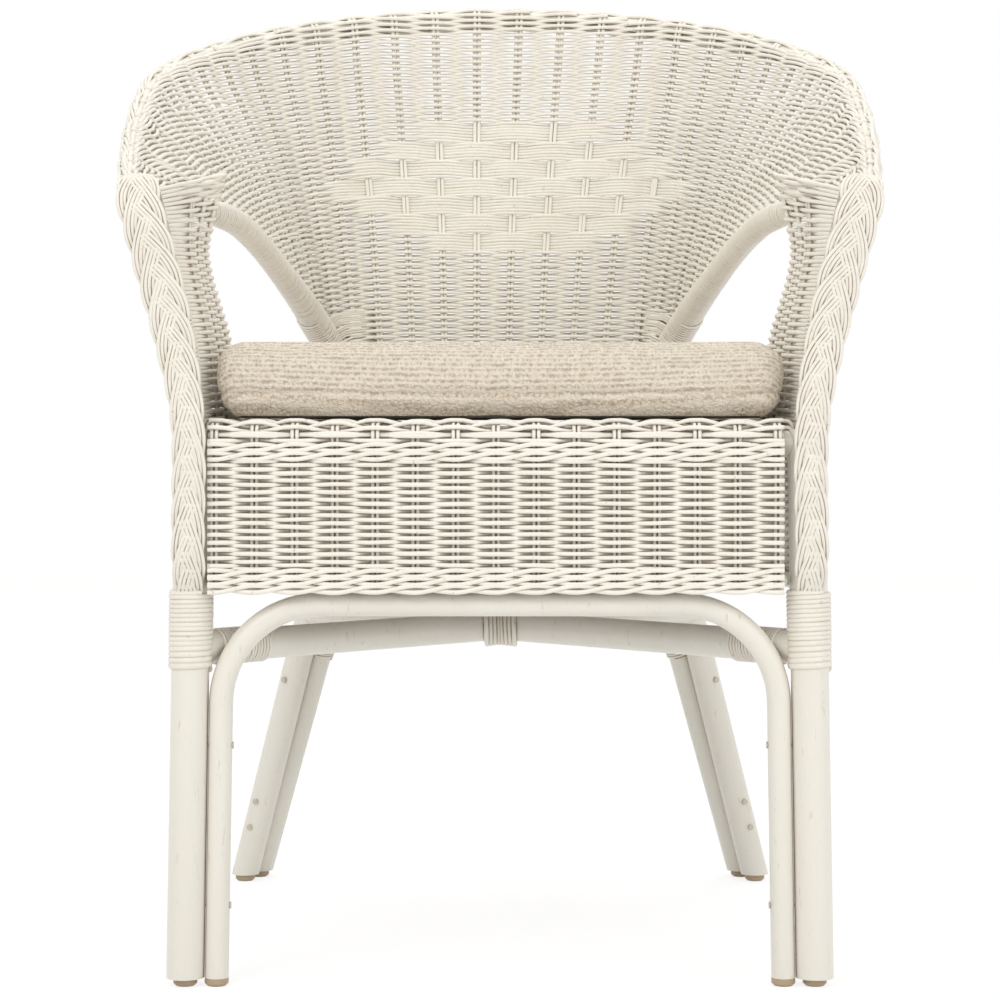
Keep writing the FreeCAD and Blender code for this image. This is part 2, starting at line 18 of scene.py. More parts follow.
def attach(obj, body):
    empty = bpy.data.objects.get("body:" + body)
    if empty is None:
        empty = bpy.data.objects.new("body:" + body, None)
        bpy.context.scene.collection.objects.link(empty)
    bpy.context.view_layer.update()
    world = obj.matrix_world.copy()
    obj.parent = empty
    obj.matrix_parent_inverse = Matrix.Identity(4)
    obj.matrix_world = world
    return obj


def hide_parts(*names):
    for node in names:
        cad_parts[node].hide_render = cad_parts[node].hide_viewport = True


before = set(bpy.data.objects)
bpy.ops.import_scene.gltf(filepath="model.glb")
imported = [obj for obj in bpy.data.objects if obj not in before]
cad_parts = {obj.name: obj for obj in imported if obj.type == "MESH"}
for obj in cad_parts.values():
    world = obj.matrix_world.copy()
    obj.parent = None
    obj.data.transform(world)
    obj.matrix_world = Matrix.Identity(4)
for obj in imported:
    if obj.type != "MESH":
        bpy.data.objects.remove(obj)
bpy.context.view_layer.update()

log = logging.getLogger("wicker_chair")
MM = 0.001
DRAWN_SHIFT = -239.483
TURN = 2 * math.pi
NOISE_REST = (0.37, 0.71)
ROLL_STEPS = 14

Spot = tuple[Vector, Vector]
Color = tuple[float, float, float]


def place(point: Vector) -> Vector:
    """Drawn millimetres to metres in the chair's frame.

    Args:
        point: a drawn point.

    Returns:
        The same point in metres.
    """
    return Vector((point.x * MM, (point.y + DRAWN_SHIFT) * MM, point.z * MM))


def on_left(point: Vector) -> Vector:
    """A point given for the right side, on the left side."""
    return Vector((-point.x, point.y, point.z))


def smooth(value: float) -> float:
    """Smooth step from 0 to 1."""
    value = min(max(value, 0.0), 1.0)
    return value * value * (3 - 2 * value)


def wander(*spot: float) -> float:
    """Slow variation from -1 to 1 that is the same in each run."""
    return noise.noise(Vector((spot + NOISE_REST)[:3]))


def spread(start: float, end: float, count: int) -> list[float]:
    """Values from start to end in a number of even steps."""
    return [start + (end - start) * i / count for i in range(count + 1)]


def level_normal(run: Vector) -> Vector:
    """Level direction square to a run."""
    return Vector((run.y, -run.x, 0)).normalized()


def bent(start: Vector, corner: Vector, end: Vector, t: float) -> Vector:
    """Point of the curve that rounds a corner; t runs from 0 to 1."""
    return start * (1 - t) ** 2 + corner * (2 * t * (1 - t)) + end * t ** 2


def around(frame_at: tuple[Vector, Vector, Vector, Vector], size: float, angle: float) -> Vector:
    """Point beside a line, from what Line.at gives, a distance and an angle."""
    point, _, across, deep = frame_at
    return point + across * (size * math.cos(angle)) + deep * (size * math.sin(angle))


def added(name: str, data: bpy.types.ID) -> bpy.types.Object:
    """New object at the origin that shows a mesh, curve, lamp or camera."""
    piece = bpy.data.objects.new(name, data)
    bpy.context.scene.collection.objects.link(piece)
    return piece


def meshed(name: str, bm: bmesh.types.BMesh) -> bpy.types.Object:
    """New mesh object made from a finished bmesh, which is freed."""
    mesh = bpy.data.meshes.new(name)
    bm.to_mesh(mesh)
    bm.free()
    return added(name, mesh)


def applied(piece: bpy.types.Object, name: str) -> bpy.types.Object:
    """The object as it shows, as a mesh in a new object; the old object is removed."""
    graph = bpy.context.evaluated_depsgraph_get()
    mesh = bpy.data.meshes.new_from_object(piece.evaluated_get(graph))
    mesh.name = name
    bpy.data.objects.remove(piece)
    return added(name, mesh)


# Shader building


class Wire:
    """A node output that adds Math nodes when it is used in an expression."""

    def __init__(self, tree: bpy.types.NodeTree, output: bpy.types.NodeSocket) -> None:
        """Keeps the tree and the output."""
        self.tree = tree
        self.output = output

    def _math(self, operation: str, first: object, second: object) -> "Wire":
        """One Math node.

        Args:
            operation: the node's operation.
            first: a Wire or a number.
            second: a Wire or a number.

        Returns:
            The node's output.
        """
        node = self.tree.nodes.new("ShaderNodeMath")
        node.operation = operation
        for socket, value in zip(node.inputs, (first, second)):
            if isinstance(value, Wire):
                self.tree.links.new(value.output, socket)
            else:
                socket.default_value = value
        return Wire(self.tree, node.outputs[0])

    def __add__(self, other: object) -> "Wire":
        """Sum."""
        return self._math("ADD", self, other)

    def __radd__(self, other: object) -> "Wire":
        """Sum with a number first."""
        return self._math("ADD", other, self)

    def __rsub__(self, other: object) -> "Wire":
        """Difference from a number."""
        return self._math("SUBTRACT", other, self)

    def __mul__(self, other: object) -> "Wire":
        """Product."""
        return self._math("MULTIPLY", self, other)

    def sine(self) -> "Wire":
        """Sine of the value."""
        return self._math("SINE", self, 0.0)


class Shader:
    """A new material and one way to add any node to it."""

    def __init__(self, name: str) -> None:
        """Makes an empty material with its output.

        Args:
            name: the material's name.
        """
        self.material = bpy.data.materials.new(name)
        self.material.use_nodes = True
        self.tree = self.material.node_tree
        self.tree.nodes.clear()
        self.output = self.tree.nodes.new("ShaderNodeOutputMaterial")
        coordinates = self.tree.nodes.new("ShaderNodeTexCoord")
        self.object_coordinates = Wire(self.tree, coordinates.outputs["Object"])

    def node(self, kind: str, settings: Optional[dict] = None, out: object = 0, **sockets: object) -> Wire:
        """Adds a node.

        Args:
            kind: the node type without its ShaderNode prefix.
            settings: values of the node itself, and ramp stops under "stops".
            out: the output's name or number.
            **sockets: values or Wires, by socket name with _ for a space, or i0, i1 by number.

        Returns:
            The wanted output.
        """
        node = self.tree.nodes.new("ShaderNode" + kind)
        for key, value in (settings or {}).items():
            if key == "stops":
                self._stops(node, value)
            else:
                setattr(node, key, value)
        for key, value in sockets.items():
            numbered = key[0] == "i" and key[1:].isdigit()
            socket = node.inputs[int(key[1:])] if numbered else node.inputs[key.replace("_", " ")]
            if isinstance(value, Wire):
                self.tree.links.new(value.output, socket)
            else:
                socket.default_value = value
        return Wire(self.tree, node.outputs[out])

    @staticmethod
    def _stops(node: bpy.types.Node, stops: Sequence[tuple[float, Color]]) -> None:
        """Sets the stops of a color ramp."""
        ramp = node.color_ramp
        while len(ramp.elements) < len(stops):
            ramp.elements.new(0.5)
        for element, (position, color) in zip(ramp.elements, stops):
            element.position = position
            element.color = (*color, 1.0)

    def speckle(
        self, scale: float, detail: float = 3.0, rough: float = 0.55, stretch: Color = (1, 1, 1)
    ) -> Wire:
        """Noise on the object's own coordinates.

        Args:
            scale: grains a metre.
            detail: levels of finer noise.
            rough: weight of the finer levels.
            stretch: scale along each axis.

        Returns:
            Values from 0 to 1.
        """
        at = self.object_coordinates
        if stretch != (1, 1, 1):
            at = self.node("Mapping", None, 0, Vector=at, Scale=stretch)
        return self.node("TexNoise", None, 0, Vector=at, Scale=scale, Detail=detail, Roughness=rough)

    def ranged(self, value: Wire, low: float, high: float) -> Wire:
        """The value as a share from 0 at low to 1 at high."""
        return self.node("MapRange", {"clamp": True}, 0, i0=value, i1=low, i2=high)

    def mixed(self, share: Wire, first: object, second: object) -> Wire:
        """Mix of two colors, given as colors or Wires."""
        def full(value: object) -> object:
            """A color with its alpha, or the Wire as it is."""
            return value if isinstance(value, Wire) else (*value, 1.0)

        settings = {"data_type": "RGBA", "clamp_factor": True}
        return self.node("Mix", settings, 2, i0=share, i6=full(first), i7=full(second))

    def finish(self, surface: Wire) -> bpy.types.Material:
        """Connects the surface and returns the material."""
        self.tree.links.new(surface.output, self.output.inputs["Surface"])
        return self.material

    def skin(
        self, color: Wire, rough: object, relief: Wire, depth: float, strength: float, **more: object
    ) -> bpy.types.Material:
        """Finishes the material with a colored surface that has a fine relief.

        Args:
            color: surface color.
            rough: roughness.
            relief: height of the relief.
            depth: metres that the relief rises.
            strength: share of the relief that is used.
            **more: other values of the surface, by socket name with _ for a space.

        Returns:
            The material.
        """
        bump = self.node("Bump", None, 0, Height=relief, Distance=depth, Strength=strength)
        surface = self.node("BsdfPrincipled", None, 0, Base_Color=color, Roughness=rough, Normal=bump, **more)
        return self.finish(surface)


@dataclass(frozen=True)
class PaintFinish:
    """Painted rattan: warm white with soft blotches, fine grain, worn flecks and painted brown shade in its
    hollows.
    """

    name: str
    color: Color
    shade: Color
    roughness: float = 0.42
    grain: float = 900.0
    grain_height: float = 0.00012
    blotch: float = 26.0
    stretch: Color = (1.0, 1.0, 1.0)
    fleck: Color = (0.42, 0.33, 0.24)
    fleck_share: float = 0.0
    # Painted shade: a brown that ambient occlusion mixes in over hollows and gaps between parts, with its
    # reach, levels and strength.
    painted_shade: Color = (0.34, 0.245, 0.17)
    painted_shade_reach: float = 0.009
    painted_shade_from: float = 0.5
    painted_shade_full: float = 0.03
    painted_shade_strength: float = 0.9
    fleck_grain: float = 210.0
    fleck_level: float = 0.64
    fleck_edge: float = 0.07
    fleck_strength: float = 0.55
    roughness_spread: float = 0.2
    coat: float = 0.12
    coat_roughness: float = 0.3

    def material(self) -> bpy.types.Material:
        """Builds the material.

        Returns:
            The material.
        """
        shader = Shader(self.name)
        blotch = shader.speckle(self.blotch, 4.0, 0.6, self.stretch)
        ramp = {"stops": [(0.32, self.shade), (0.68, self.color)]}
        color = shader.node("ValToRGB", ramp, 0, Fac=blotch)
        if self.fleck_share:
            flecks = shader.speckle(self.fleck_grain, 5.0, 0.7, self.stretch)
            start = self.fleck_level - self.fleck_share
            mask = shader.ranged(flecks, start, start + self.fleck_edge)
            color = shader.mixed(mask * self.fleck_strength, color, self.fleck)
        # Painted shade: ambient occlusion darkens the colour towards brown in hollows and gaps, where shade
        # falls.
        open_share = shader.node("AmbientOcclusion", {"samples": 6}, "AO", Distance=self.painted_shade_reach)
        painted_shade = shader.ranged(open_share, self.painted_shade_from, self.painted_shade_full)
        color = shader.mixed(painted_shade * self.painted_shade_strength, color, self.painted_shade)
        grain = shader.speckle(self.grain, 3.0, 0.6, self.stretch)
        rough = self.roughness - self.roughness_spread / 2 + blotch * self.roughness_spread
        return shader.skin(color, rough, grain, self.grain_height, 0.8,
                           Coat_Weight=self.coat, Coat_Roughness=self.coat_roughness)


@dataclass(frozen=True)
class BoucleFinish:
    """Cushion cloth of thick looped yarn laid in rows, with painted shade in the grooves and a painted
    highlight on the loop tops.
    """

    name: str = "boucle"
    light: Color = (0.87, 0.80, 0.69)
    mid: Color = (0.78, 0.69, 0.565)
    # The light colour is a painted highlight on the loop tops; the dark colour is painted shade in the
    # grooves.
    groove_shade: Color = (0.54, 0.44, 0.33)
    row: float = 0.0043
    sway: float = 0.003
    loops: float = 340.0
    fibres: float = 820.0
    relief: float = 0.002

    def material(self) -> bpy.types.Material:
        """Builds the material.

        Returns:
            The material.
        """
        shader = Shader(self.name)
        at = shader.object_coordinates
        rows = shader.node("Attribute", {"attribute_name": "rib"}, "Fac")
        drift = shader.speckle(60.0, 3.0, 0.5)
        wave = ((rows + drift * self.sway) * (TURN / self.row)).sine() * 0.5 + 0.5
        cells = {"feature": "F1"}
        loop, fibre = (
            shader.node("TexVoronoi", cells, "Distance", Vector=at, Scale=scale, Randomness=spread)
            for scale, spread in ((self.loops, 0.85), (self.fibres, 1.0))
        )
        height = wave * 0.42 + (1.0 - loop) * 0.65 + (1.0 - fibre) * 0.35
        # Painted shade and highlight: the colour runs from dark in the low grooves to light on the high
        # loops, as the relief would be lit.
        ramp = {"stops": [(0.0, self.groove_shade), (0.36, self.mid), (0.85, self.light)]}
        color = shader.node("ValToRGB", ramp, 0, Fac=shader.ranged(height, 0.34, 1.0))
        color = shader.mixed(drift * 0.25, color, self.mid)
        return shader.skin(color, 0.92, height, self.relief, 1.0, Sheen_Weight=0.25, Sheen_Roughness=0.5)


@dataclass(frozen=True)
class ClothFinish:
    """Plain woven cloth, as under the cushion."""

    name: str
    color: Color
    thread: float = 1100.0
    threads_a_band: float = 6.0
    fuzz: float = 240.0
    light: float = 1.9

    def material(self) -> bpy.types.Material:
        """Builds the material.

        Returns:
            The material.
        """
        shader = Shader(self.name)
        at = shader.object_coordinates
        scale = self.thread / self.threads_a_band
        warp, weft = (shader.node("TexWave", {"bands_direction": way}, "Fac", Vector=at, Scale=scale)
                      for way in "XY")
        height = warp * 0.5 + weft * 0.5
        lighter = tuple(value * self.light for value in self.color)
        color = shader.mixed(shader.speckle(self.fuzz) * 0.5 + height * 0.3, self.color, lighter)
        return shader.skin(color, 0.9, height, 0.0003, 0.7)


@dataclass(frozen=True)
class HardFinish:
    """Turned plastic or steel with a little unevenness."""

    name: str
    color: Color
    roughness: float
    metallic: float = 0.0

    def material(self) -> bpy.types.Material:
        """Builds the material.

        Returns:
            The material.
        """
        shader = Shader(self.name)
        marks = shader.speckle(160.0, 4.0, 0.6)
        color = shader.mixed(marks, tuple(value * 0.8 for value in self.color), self.color)
        rough = marks * 0.2 + (self.roughness - 0.1)
        return shader.skin(color, rough, shader.speckle(1400.0), 0.00005, 0.6, Metallic=self.metallic)


class Finishes:
    """Every material of the chair, built once."""

    def __init__(self) -> None:
        """Builds the materials."""
        self.pole = PaintFinish("painted_pole", (0.83, 0.805, 0.735), (0.785, 0.755, 0.68), 0.36, 420.0,
                                0.0002, 14.0, (1.0, 1.0, 0.16), (0.55, 0.46, 0.36), 0.02).material()
        self.strand = PaintFinish("painted_strand", (0.91, 0.88, 0.81), (0.87, 0.835, 0.755), 0.46, 1100.0,
                                  0.00012, 34.0, fleck_share=0.015).material()
        # The shell and the winding set their own levels for the painted shade in hollows.
        self.shell = PaintFinish("painted_shell", (0.90, 0.875, 0.805), (0.86, 0.825, 0.745), 0.46, 1100.0,
                                 0.00012, 30.0, fleck_share=0.012, painted_shade_from=0.3).material()
        cane = PaintFinish("painted_cane", (0.87, 0.84, 0.765), (0.83, 0.79, 0.705), 0.4, 1000.0,
                           0.0001, 40.0, fleck_share=0.012)
        wound = replace(cane, name="painted_winding", painted_shade_from=0.95, painted_shade_reach=0.004)
        self.cane = cane.material()
        self.wound = wound.material()
        self.boucle = BoucleFinish().material()
        # Painted shadow: the real underside cloth is given the near-black brown of the shadow line under the
        # cushion.
        self.dark_cloth_painted_shadow = ClothFinish("dark_cloth_painted_shadow", (0.05, 0.04, 0.034)).material()
        self.foam = ClothFinish("foam", (0.8, 0.75, 0.6), 500.0).material()
        self.glide = HardFinish("glide_plastic", (0.50, 0.38, 0.25), 0.45).material()
        self.nail = HardFinish("painted_steel", (0.62, 0.57, 0.48), 0.4, 0.3).material()


# Lines and strands


class Line:
    """Smooth line through drawn points, read by its distance from the start."""

    def __init__(self, points: Sequence[Vector], across: Vector, step: float = 2.0) -> None:
        """Samples the line.

        Args:
            points: drawn points.
            across: rough direction of the line's width.
            step: distance between samples in millimetres.
        """
        ways = []
        for i in range(len(points)):
            before = points[max(i - 1, 0)]
            after = points[min(i + 1, len(points) - 1)]
            ways.append((after - before).normalized())
        self.across = across
        self.points = [points[0]]
        for i in range(len(points) - 1):
            chord = (points[i + 1] - points[i]).length
            count = max(2, math.ceil(chord / step))
            for k in range(1, count + 1):
                self.points.append(self._between(points, ways, i, k / count, chord))
        self.marks = [0.0]
        for first, second in zip(self.points, self.points[1:]):
            self.marks.append(self.marks[-1] + (second - first).length)
        self.length = self.marks[-1]

    @staticmethod
    def _between(points: Sequence[Vector], ways: Sequence[Vector], i: int, t: float, chord: float) -> Vector:
        """Point of one span of the line."""
        a = 2 * t ** 3 - 3 * t ** 2 + 1
        b = t ** 3 - 2 * t ** 2 + t
        c = t ** 3 - t ** 2
        return points[i] * a + ways[i] * (b * chord) + points[i + 1] * (1 - a) + ways[i + 1] * (c * chord)

    def at(self, distance: float) -> tuple[Vector, Vector, Vector, Vector]:
        """Reads the line.

        Args:
            distance: millimetres from the start.

        Returns:
            The point, the direction, the width direction and the depth direction.
        """
        distance = min(max(distance, 0.0), self.length)
        i = min(max(bisect.bisect_right(self.marks, distance) - 1, 0), len(self.marks) - 2)
        share = (distance - self.marks[i]) / (self.marks[i + 1] - self.marks[i])
        point = self.points[i].lerp(self.points[i + 1], share)
        low = self.points[max(i - 1, 0)]
        high = self.points[min(i + 2, len(self.points) - 1)]
        way = (high - low).normalized()
        across = (self.across - way * self.across.dot(way)).normalized()
        return point, way, across, way.cross(across)


class Strands:
    """Round strands that become one mesh piece."""

    def __init__(self, name: str, radius: float, roundness: int = 1) -> None:
        """Starts an empty bundle.

        Args:
            name: the piece's name.
            radius: strand radius in millimetres.
            roundness: 0 for four sides, 1 for six, 2 for eight.
        """
        self.name = name
        self.curve = bpy.data.curves.new(name + "_lines", "CURVE")
        self.curve.dimensions = "3D"
        self.curve.bevel_depth = radius * MM
        self.curve.bevel_resolution = roundness
        self.curve.use_fill_caps = True

    def add(self, points: Sequence[Vector], thickness: Optional[Sequence[float]] = None) -> None:
        """Adds a strand.

        Args:
            points: points in metres.
            thickness: share of the radius at each point.
        """
        if len(points) < 2:
            return
        spline = self.curve.splines.new("POLY")
        spline.points.add(len(points) - 1)
        flat: list[float] = []
        for point in points:
            flat += [point.x, point.y, point.z, 1.0]
        spline.points.foreach_set("co", flat)
        if thickness:
            spline.points.foreach_set("radius", list(thickness))

    def build(self) -> bpy.types.Object:
        """Turns the strands into a mesh object at the origin.

        Returns:
            The new object.
        """
        lines = added(self.name + "_lines", self.curve)
        bpy.context.view_layer.update()
        piece = applied(lines, self.name)
        bpy.data.curves.remove(self.curve)
        piece.data.materials.clear()
        piece.data.shade_smooth()
        return piece


def dress(
    piece: bpy.types.Object,
    material: bpy.types.Material,
    nodes: Iterable[str] = (),
    body: str = "chair",
) -> bpy.types.Object:
    """Gives a piece its finish, its body and the solids that it stands for.

    Args:
        piece: the finished piece.
        material: its material.
        nodes: names of the solids that it replaces.
        body: the body that it rides on.

    Returns:
        The same piece.
    """
    piece.data.materials.clear()
    piece.data.materials.append(material)
    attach(piece, body)
    if nodes:
        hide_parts(*nodes)
    log.info("%s: %d faces", piece.name, len(piece.data.polygons))
    return piece


class Side(Enum):
    """Left or right half of the chair, with the sign of its X."""

    LEFT = -1
    RIGHT = 1

    @property
    def word(self) -> str:
        """Ending of the names on this side."""
        return self.name.lower()

    def put(self, point: Vector) -> Vector:
        """A point given for the right side, on this side."""
        return point.copy() if self is Side.RIGHT else on_left(point)

    def line(self, points: Sequence[Vector]) -> Line:
        """Line through points given for the right side, on this side."""
        return Line([self.put(point) for point in points], Vector((1, 0, 0)))


class Weave(Enum):
    """How a strand passes the stakes."""

    PLAIN = 1
    WALE = 2


def shown(weave: Weave, row: int, column: int) -> float:
    """Whether a strand lies before or behind a stake.

    Args:
        weave: the kind of weave.
        row: number of the row, or of the strand in a wale.
        column: number of the stake.

    Returns:
        1 in front, -1 behind.
    """
    if weave is Weave.WALE:
        return -1.0 if (column + row) % 3 == 2 else 1.0
    return 1.0 if (row + column) % 2 == 0 else -1.0


def between_stakes(value_at: Callable[[int], float], column: float, flat: float = 0.12) -> float:
    """Smooth change of a value from stake to stake, held near each stake.

    Args:
        value_at: the value at a whole column.
        column: where it is read.
        flat: share of the way that stays level beside a stake.

    Returns:
        The value between the stakes.
    """
    low = math.floor(column)
    share = smooth((column - low - flat) / (1 - 2 * flat))
    return value_at(low) * (1 - share) + value_at(low + 1) * share


def wrap_points(
    line: Line,
    start: float,
    end: float,
    pitch: float,
    radius: Callable[[float], float],
    per_turn: int = 12,
    seed: float = 0.0,
) -> list[Vector]:
    """Cane wound round a line.

    Args:
        line: the middle of the pole.
        start: where the wrap starts along it.
        end: where it ends.
        pitch: distance from turn to turn.
        radius: distance of the cane's middle from the line.
        per_turn: points a turn.
        seed: place in the slow variation.

    Returns:
        Points in metres.
    """
    count = int(abs(end - start) / pitch * per_turn)
    points = []
    for i in range(count + 1):
        s = start + (end - start) * i / count
        slip = 0.18 * pitch * wander(i / per_turn * 0.9, seed, 4.0)
        size = radius(s) + 0.12 * wander(i * 0.4, seed)
        points.append(place(around(line.at(s + slip), size, TURN * i / per_turn)))
    return points


@dataclass
class Plait:
    """Flat plait: bundles of cane rise over one half, dive at the middle and turn at the far edge."""

    bundles: int = 5
    canes: int = 4
    cane_radius: float = 1.5
    spacing: float = 2.75
    repeat: float = 120.0
    depth: float = 2.5
    step: float = 2.6
    rise_end: float = 0.42
    dive_start: float = 0.56
    dive_end: float = 0.72
    crest: float = 1.25
    trough: float = -1.0
    least_room: float = 4.0
    bundle_crown: float = 0.25
    unevenness: float = 0.3
    swelling: float = 0.1

    def lift(self, half: float) -> float:
        """Height of a bundle in its half turn; half runs from 0 at one edge to 1 at the other."""
        if half < self.rise_end:
            return self.crest * math.sin(half / self.rise_end * math.pi / 2)
        if half < self.dive_start:
            return self.crest
        if half < self.dive_end:
            share = smooth((half - self.dive_start) / (self.dive_end - self.dive_start))
            return self.crest + (self.trough - self.crest) * share
        return self.trough * (1 - smooth((half - self.dive_end) / (1 - self.dive_end)))

    def cane_spot(self, line: Line, s: float, width: float, bundle: int, cane: int, mirror: float) -> Vector:
        """Point of one cane.

        Args:
            line: middle of the plait.
            s: distance along it.
            width: width of the plait there.
            bundle: number of the cane's bundle.
            cane: number of the cane in the bundle.
            mirror: -1 turns the plait over.

        Returns:
            The point in metres.
        """
        point, way, across, deep = line.at(s)
        off = cane - (self.canes - 1) / 2
        turn = s / self.repeat + bundle / self.bundles
        reach = max(width - self.spacing * self.canes, self.least_room) / 2
        sweep = reach * math.cos(TURN * turn)
        slope = -reach * math.sin(TURN * turn) * TURN / self.repeat
        lean = math.hypot(1.0, slope)
        lift = self.depth * self.lift(turn * 2 % 1.0) - self.bundle_crown * off * off
        jitter = self.unevenness * wander(s * 0.04, cane * 3.1 + bundle * 7.7)
        side = mirror * (sweep + off * self.spacing / lean) + jitter
        along = -off * self.spacing * slope / lean
        return place(point + across * side + way * along - deep * (lift + jitter))

    def fill(
        self, strands: Strands, line: Line, width_at: Callable[[float], float], mirror: float = 1.0
    ) -> None:
        """Adds the canes of the plait.

        Args:
            strands: where they go.
            line: middle of the plait.
            width_at: width at a distance along it.
            mirror: -1 turns the plait over.
        """
        count = int(line.length / self.step)
        marks = spread(0.0, line.length, count)
        for bundle in range(self.bundles):
            for cane in range(self.canes):
                points = [self.cane_spot(line, s, width_at(s), bundle, cane, mirror) for s in marks]
                swell = [wander(s * 0.03, cane * 1.3, bundle * 2.9) for s in marks]
                strands.add(points, [1.0 + self.swelling * value for value in swell])


# Shell of the back and arms


@dataclass
class Section:
    """Middle line of the weave at one column, from the outer end of the rim roll down."""

    marks: list[float]
    points: list[Vector]
    normals: list[Vector]

    def distance_at(self, height: float) -> float:
        """Distance at which the wall comes down to a height, past the foot as well."""
        least_drop = 0.02
        for i in range(ROLL_STEPS + 1, len(self.points)):
            if self.points[i].z <= height or i == len(self.points) - 1:
                drop = max(self.points[i - 1].z - self.points[i].z, least_drop)
                share = (self.points[i - 1].z - height) / drop
                return self.marks[i - 1] + share * (self.marks[i] - self.marks[i - 1])
        return self.marks[-1]

    def height_at(self, distance: float) -> float:
        """Height at a distance, past the foot as well."""
        spot = self.at(distance)
        return spot[0].z if spot else self.points[-1].z + self.marks[-1] - distance

    def at(self, distance: float) -> Optional[Spot]:
        """Point and inward normal at a distance, or None past the foot."""
        if distance > self.marks[-1] or distance < 0:
            return None
        i = min(max(bisect.bisect_right(self.marks, distance) - 1, 0), len(self.marks) - 2)
        share = (distance - self.marks[i]) / (self.marks[i + 1] - self.marks[i])
        return (
            self.points[i].lerp(self.points[i + 1], share),
            self.normals[i].lerp(self.normals[i + 1], share).normalized(),
        )


@dataclass
class ShellForm:
    """Flared surface between the lower edge and the rim."""

    rim_half_width: float = 299.0
    rim_tip_half: float = 277.0
    rim_side_depth: float = 260.0
    rim_back_depth: float = 235.0
    rim_tip_height: float = 589.0
    rim_slope: float = 0.43
    foot_y: float = 411.0
    foot_height: float = 427.0
    foot_half: float = 112.0
    stakes: int = 19
    foot_stakes: int = 4
    edge: list[Vector] = field(default_factory=lambda: [
        Vector((120, 411, 434)), Vector((155, 402, 496)), Vector((182, 310, 543)),
        Vector((209, 165, 581)), Vector((230, 98, 589)), Vector((258, 18, 590)),
    ])
    roll_radius: float = 6.3
    roll_share: float = 0.14
    top_lean: float = 0.46
    foot_lean: float = 0.24
    roll_turn: float = 205.0
    wall_steps: int = 36
    least_step: float = 1e-4

    def rim_point(self, share: float) -> Vector:
        """Point of the rim's middle line; share runs from 0 at the left tip to 1 at the right."""
        width, depth, side = self.rim_half_width, self.rim_back_depth, self.rim_side_depth
        quarter = math.pi / 2 * math.sqrt((width ** 2 + depth ** 2) / 2)
        travel = min(share, 1 - share) * 2 * (side + quarter)
        if travel < side:
            y = travel
            x = width - (width - self.rim_tip_half) * ((side - y) / side) ** 2
        else:
            angle = (travel - side) / quarter * math.pi / 2
            x = width * math.cos(angle)
            y = side + depth * math.sin(angle)
        sign = -1 if share < 0.5 else 1
        return Vector((sign * x, y, self.rim_tip_height + self.rim_slope * y))

    def foot_point(self, share: float) -> Vector:
        """Point of the lower edge that belongs to the rim point of the same share."""
        column = abs(0.5 - share) * 2 * self.stakes
        if column <= self.foot_stakes:
            point = Vector((self.foot_half * column / self.foot_stakes, self.foot_y, self.foot_height))
        else:
            runs = [Vector((self.foot_half, self.foot_y, self.foot_height))] + self.edge
            lengths = [(b - a).length for a, b in zip(runs, runs[1:])]
            travel = sum(lengths) * (column - self.foot_stakes) / (self.stakes - self.foot_stakes)
            index = 0
            while index < len(lengths) - 1 and travel > lengths[index]:
                travel -= lengths[index]
                index += 1
            point = runs[index].lerp(runs[index + 1], travel / lengths[index])
        return on_left(point) if share < 0.5 else point

    def wall_point(self, column: float, rise: float) -> Vector:
        """Point in the middle of the wall; rise runs from 0 at its foot to 1 at the rim."""
        lean = self.foot_lean + (self.top_lean - self.foot_lean) * rise
        moved = column + lean * (1 - (column / self.stakes) ** 2)
        share = 0.5 + moved / (2 * self.stakes)
        low = self.foot_point(share)
        high = self.rim_point(share)
        flare = 0.5 * rise + 0.5 * rise * rise
        return Vector((
            low.x + (high.x - low.x) * flare,
            low.y + (high.y - low.y) * flare,
            low.z + (high.z - low.z) * rise,
        ))

    def inward(self, column: float, rise: float) -> tuple[Vector, Vector]:
        """Inward normal and upward direction of the wall.

        Args:
            column: stake number, 0 in the middle.
            rise: height share.

        Returns:
            The normal and the upward direction.
        """
        d = 0.02
        along = self.wall_point(column + d, rise) - self.wall_point(column - d, rise)
        along.normalize()
        up = self.wall_point(column, rise + d) - self.wall_point(column, rise - d)
        normal = along.cross(up).normalized()
        return normal, normal.cross(along)

    def section(self, column: float) -> Section:
        """Middle line of the weave at a column, with the roll over the rim pole."""
        points = []
        normals = []
        rim = self.wall_point(column, 1.0)
        normal, up = self.inward(column, 1.0)
        for i in range(ROLL_STEPS):
            angle = math.radians(self.roll_turn) * (1 - i / ROLL_STEPS)
            out = normal * math.cos(angle) + up * math.sin(angle)
            points.append(rim + out * self.roll_radius)
            normals.append(out)
        for i in range(self.wall_steps + 1):
            rise = 1 - i / self.wall_steps
            normal, up = self.inward(column, rise)
            shift = self.roll_radius * smooth((rise - 1 + self.roll_share) / self.roll_share)
            points.append(self.wall_point(column, rise) + normal * shift)
            normals.append(normal)
        marks = [0.0]
        for first, second in zip(points, points[1:]):
            marks.append(marks[-1] + max((second - first).length, self.least_step))
        return Section(marks, points, normals)


@dataclass
class Diamond:
    """Basket weave in the middle of the back: whole bands of rows pass the stakes together."""

    middle_height: float = 635.5
    band_rows: int = 6
    reach: int = 4
    bands: int = 3

    def band(self, row: int, middle_row: int) -> Optional[int]:
        """Band of a row, or None outside the diamond."""
        band = (row - middle_row + self.band_rows // 2) // self.band_rows
        return band if abs(band) <= self.bands else None

    def shown(self, row: int, middle_row: int, column: int) -> float:
        """1 where the row passes before a stake, -1 where it passes behind."""
        if not self.holds(row, middle_row, column):
            return shown(Weave.PLAIN, row, column)
        return -1.0 if (column + self.band(row, middle_row)) % 2 == 0 else 1.0

    def holds(self, row: int, middle_row: int, column: float) -> bool:
        """Whether a place on a row lies in the diamond."""
        band = self.band(row, middle_row)
        return band is not None and abs(column) <= self.reach + 1 - abs(band)


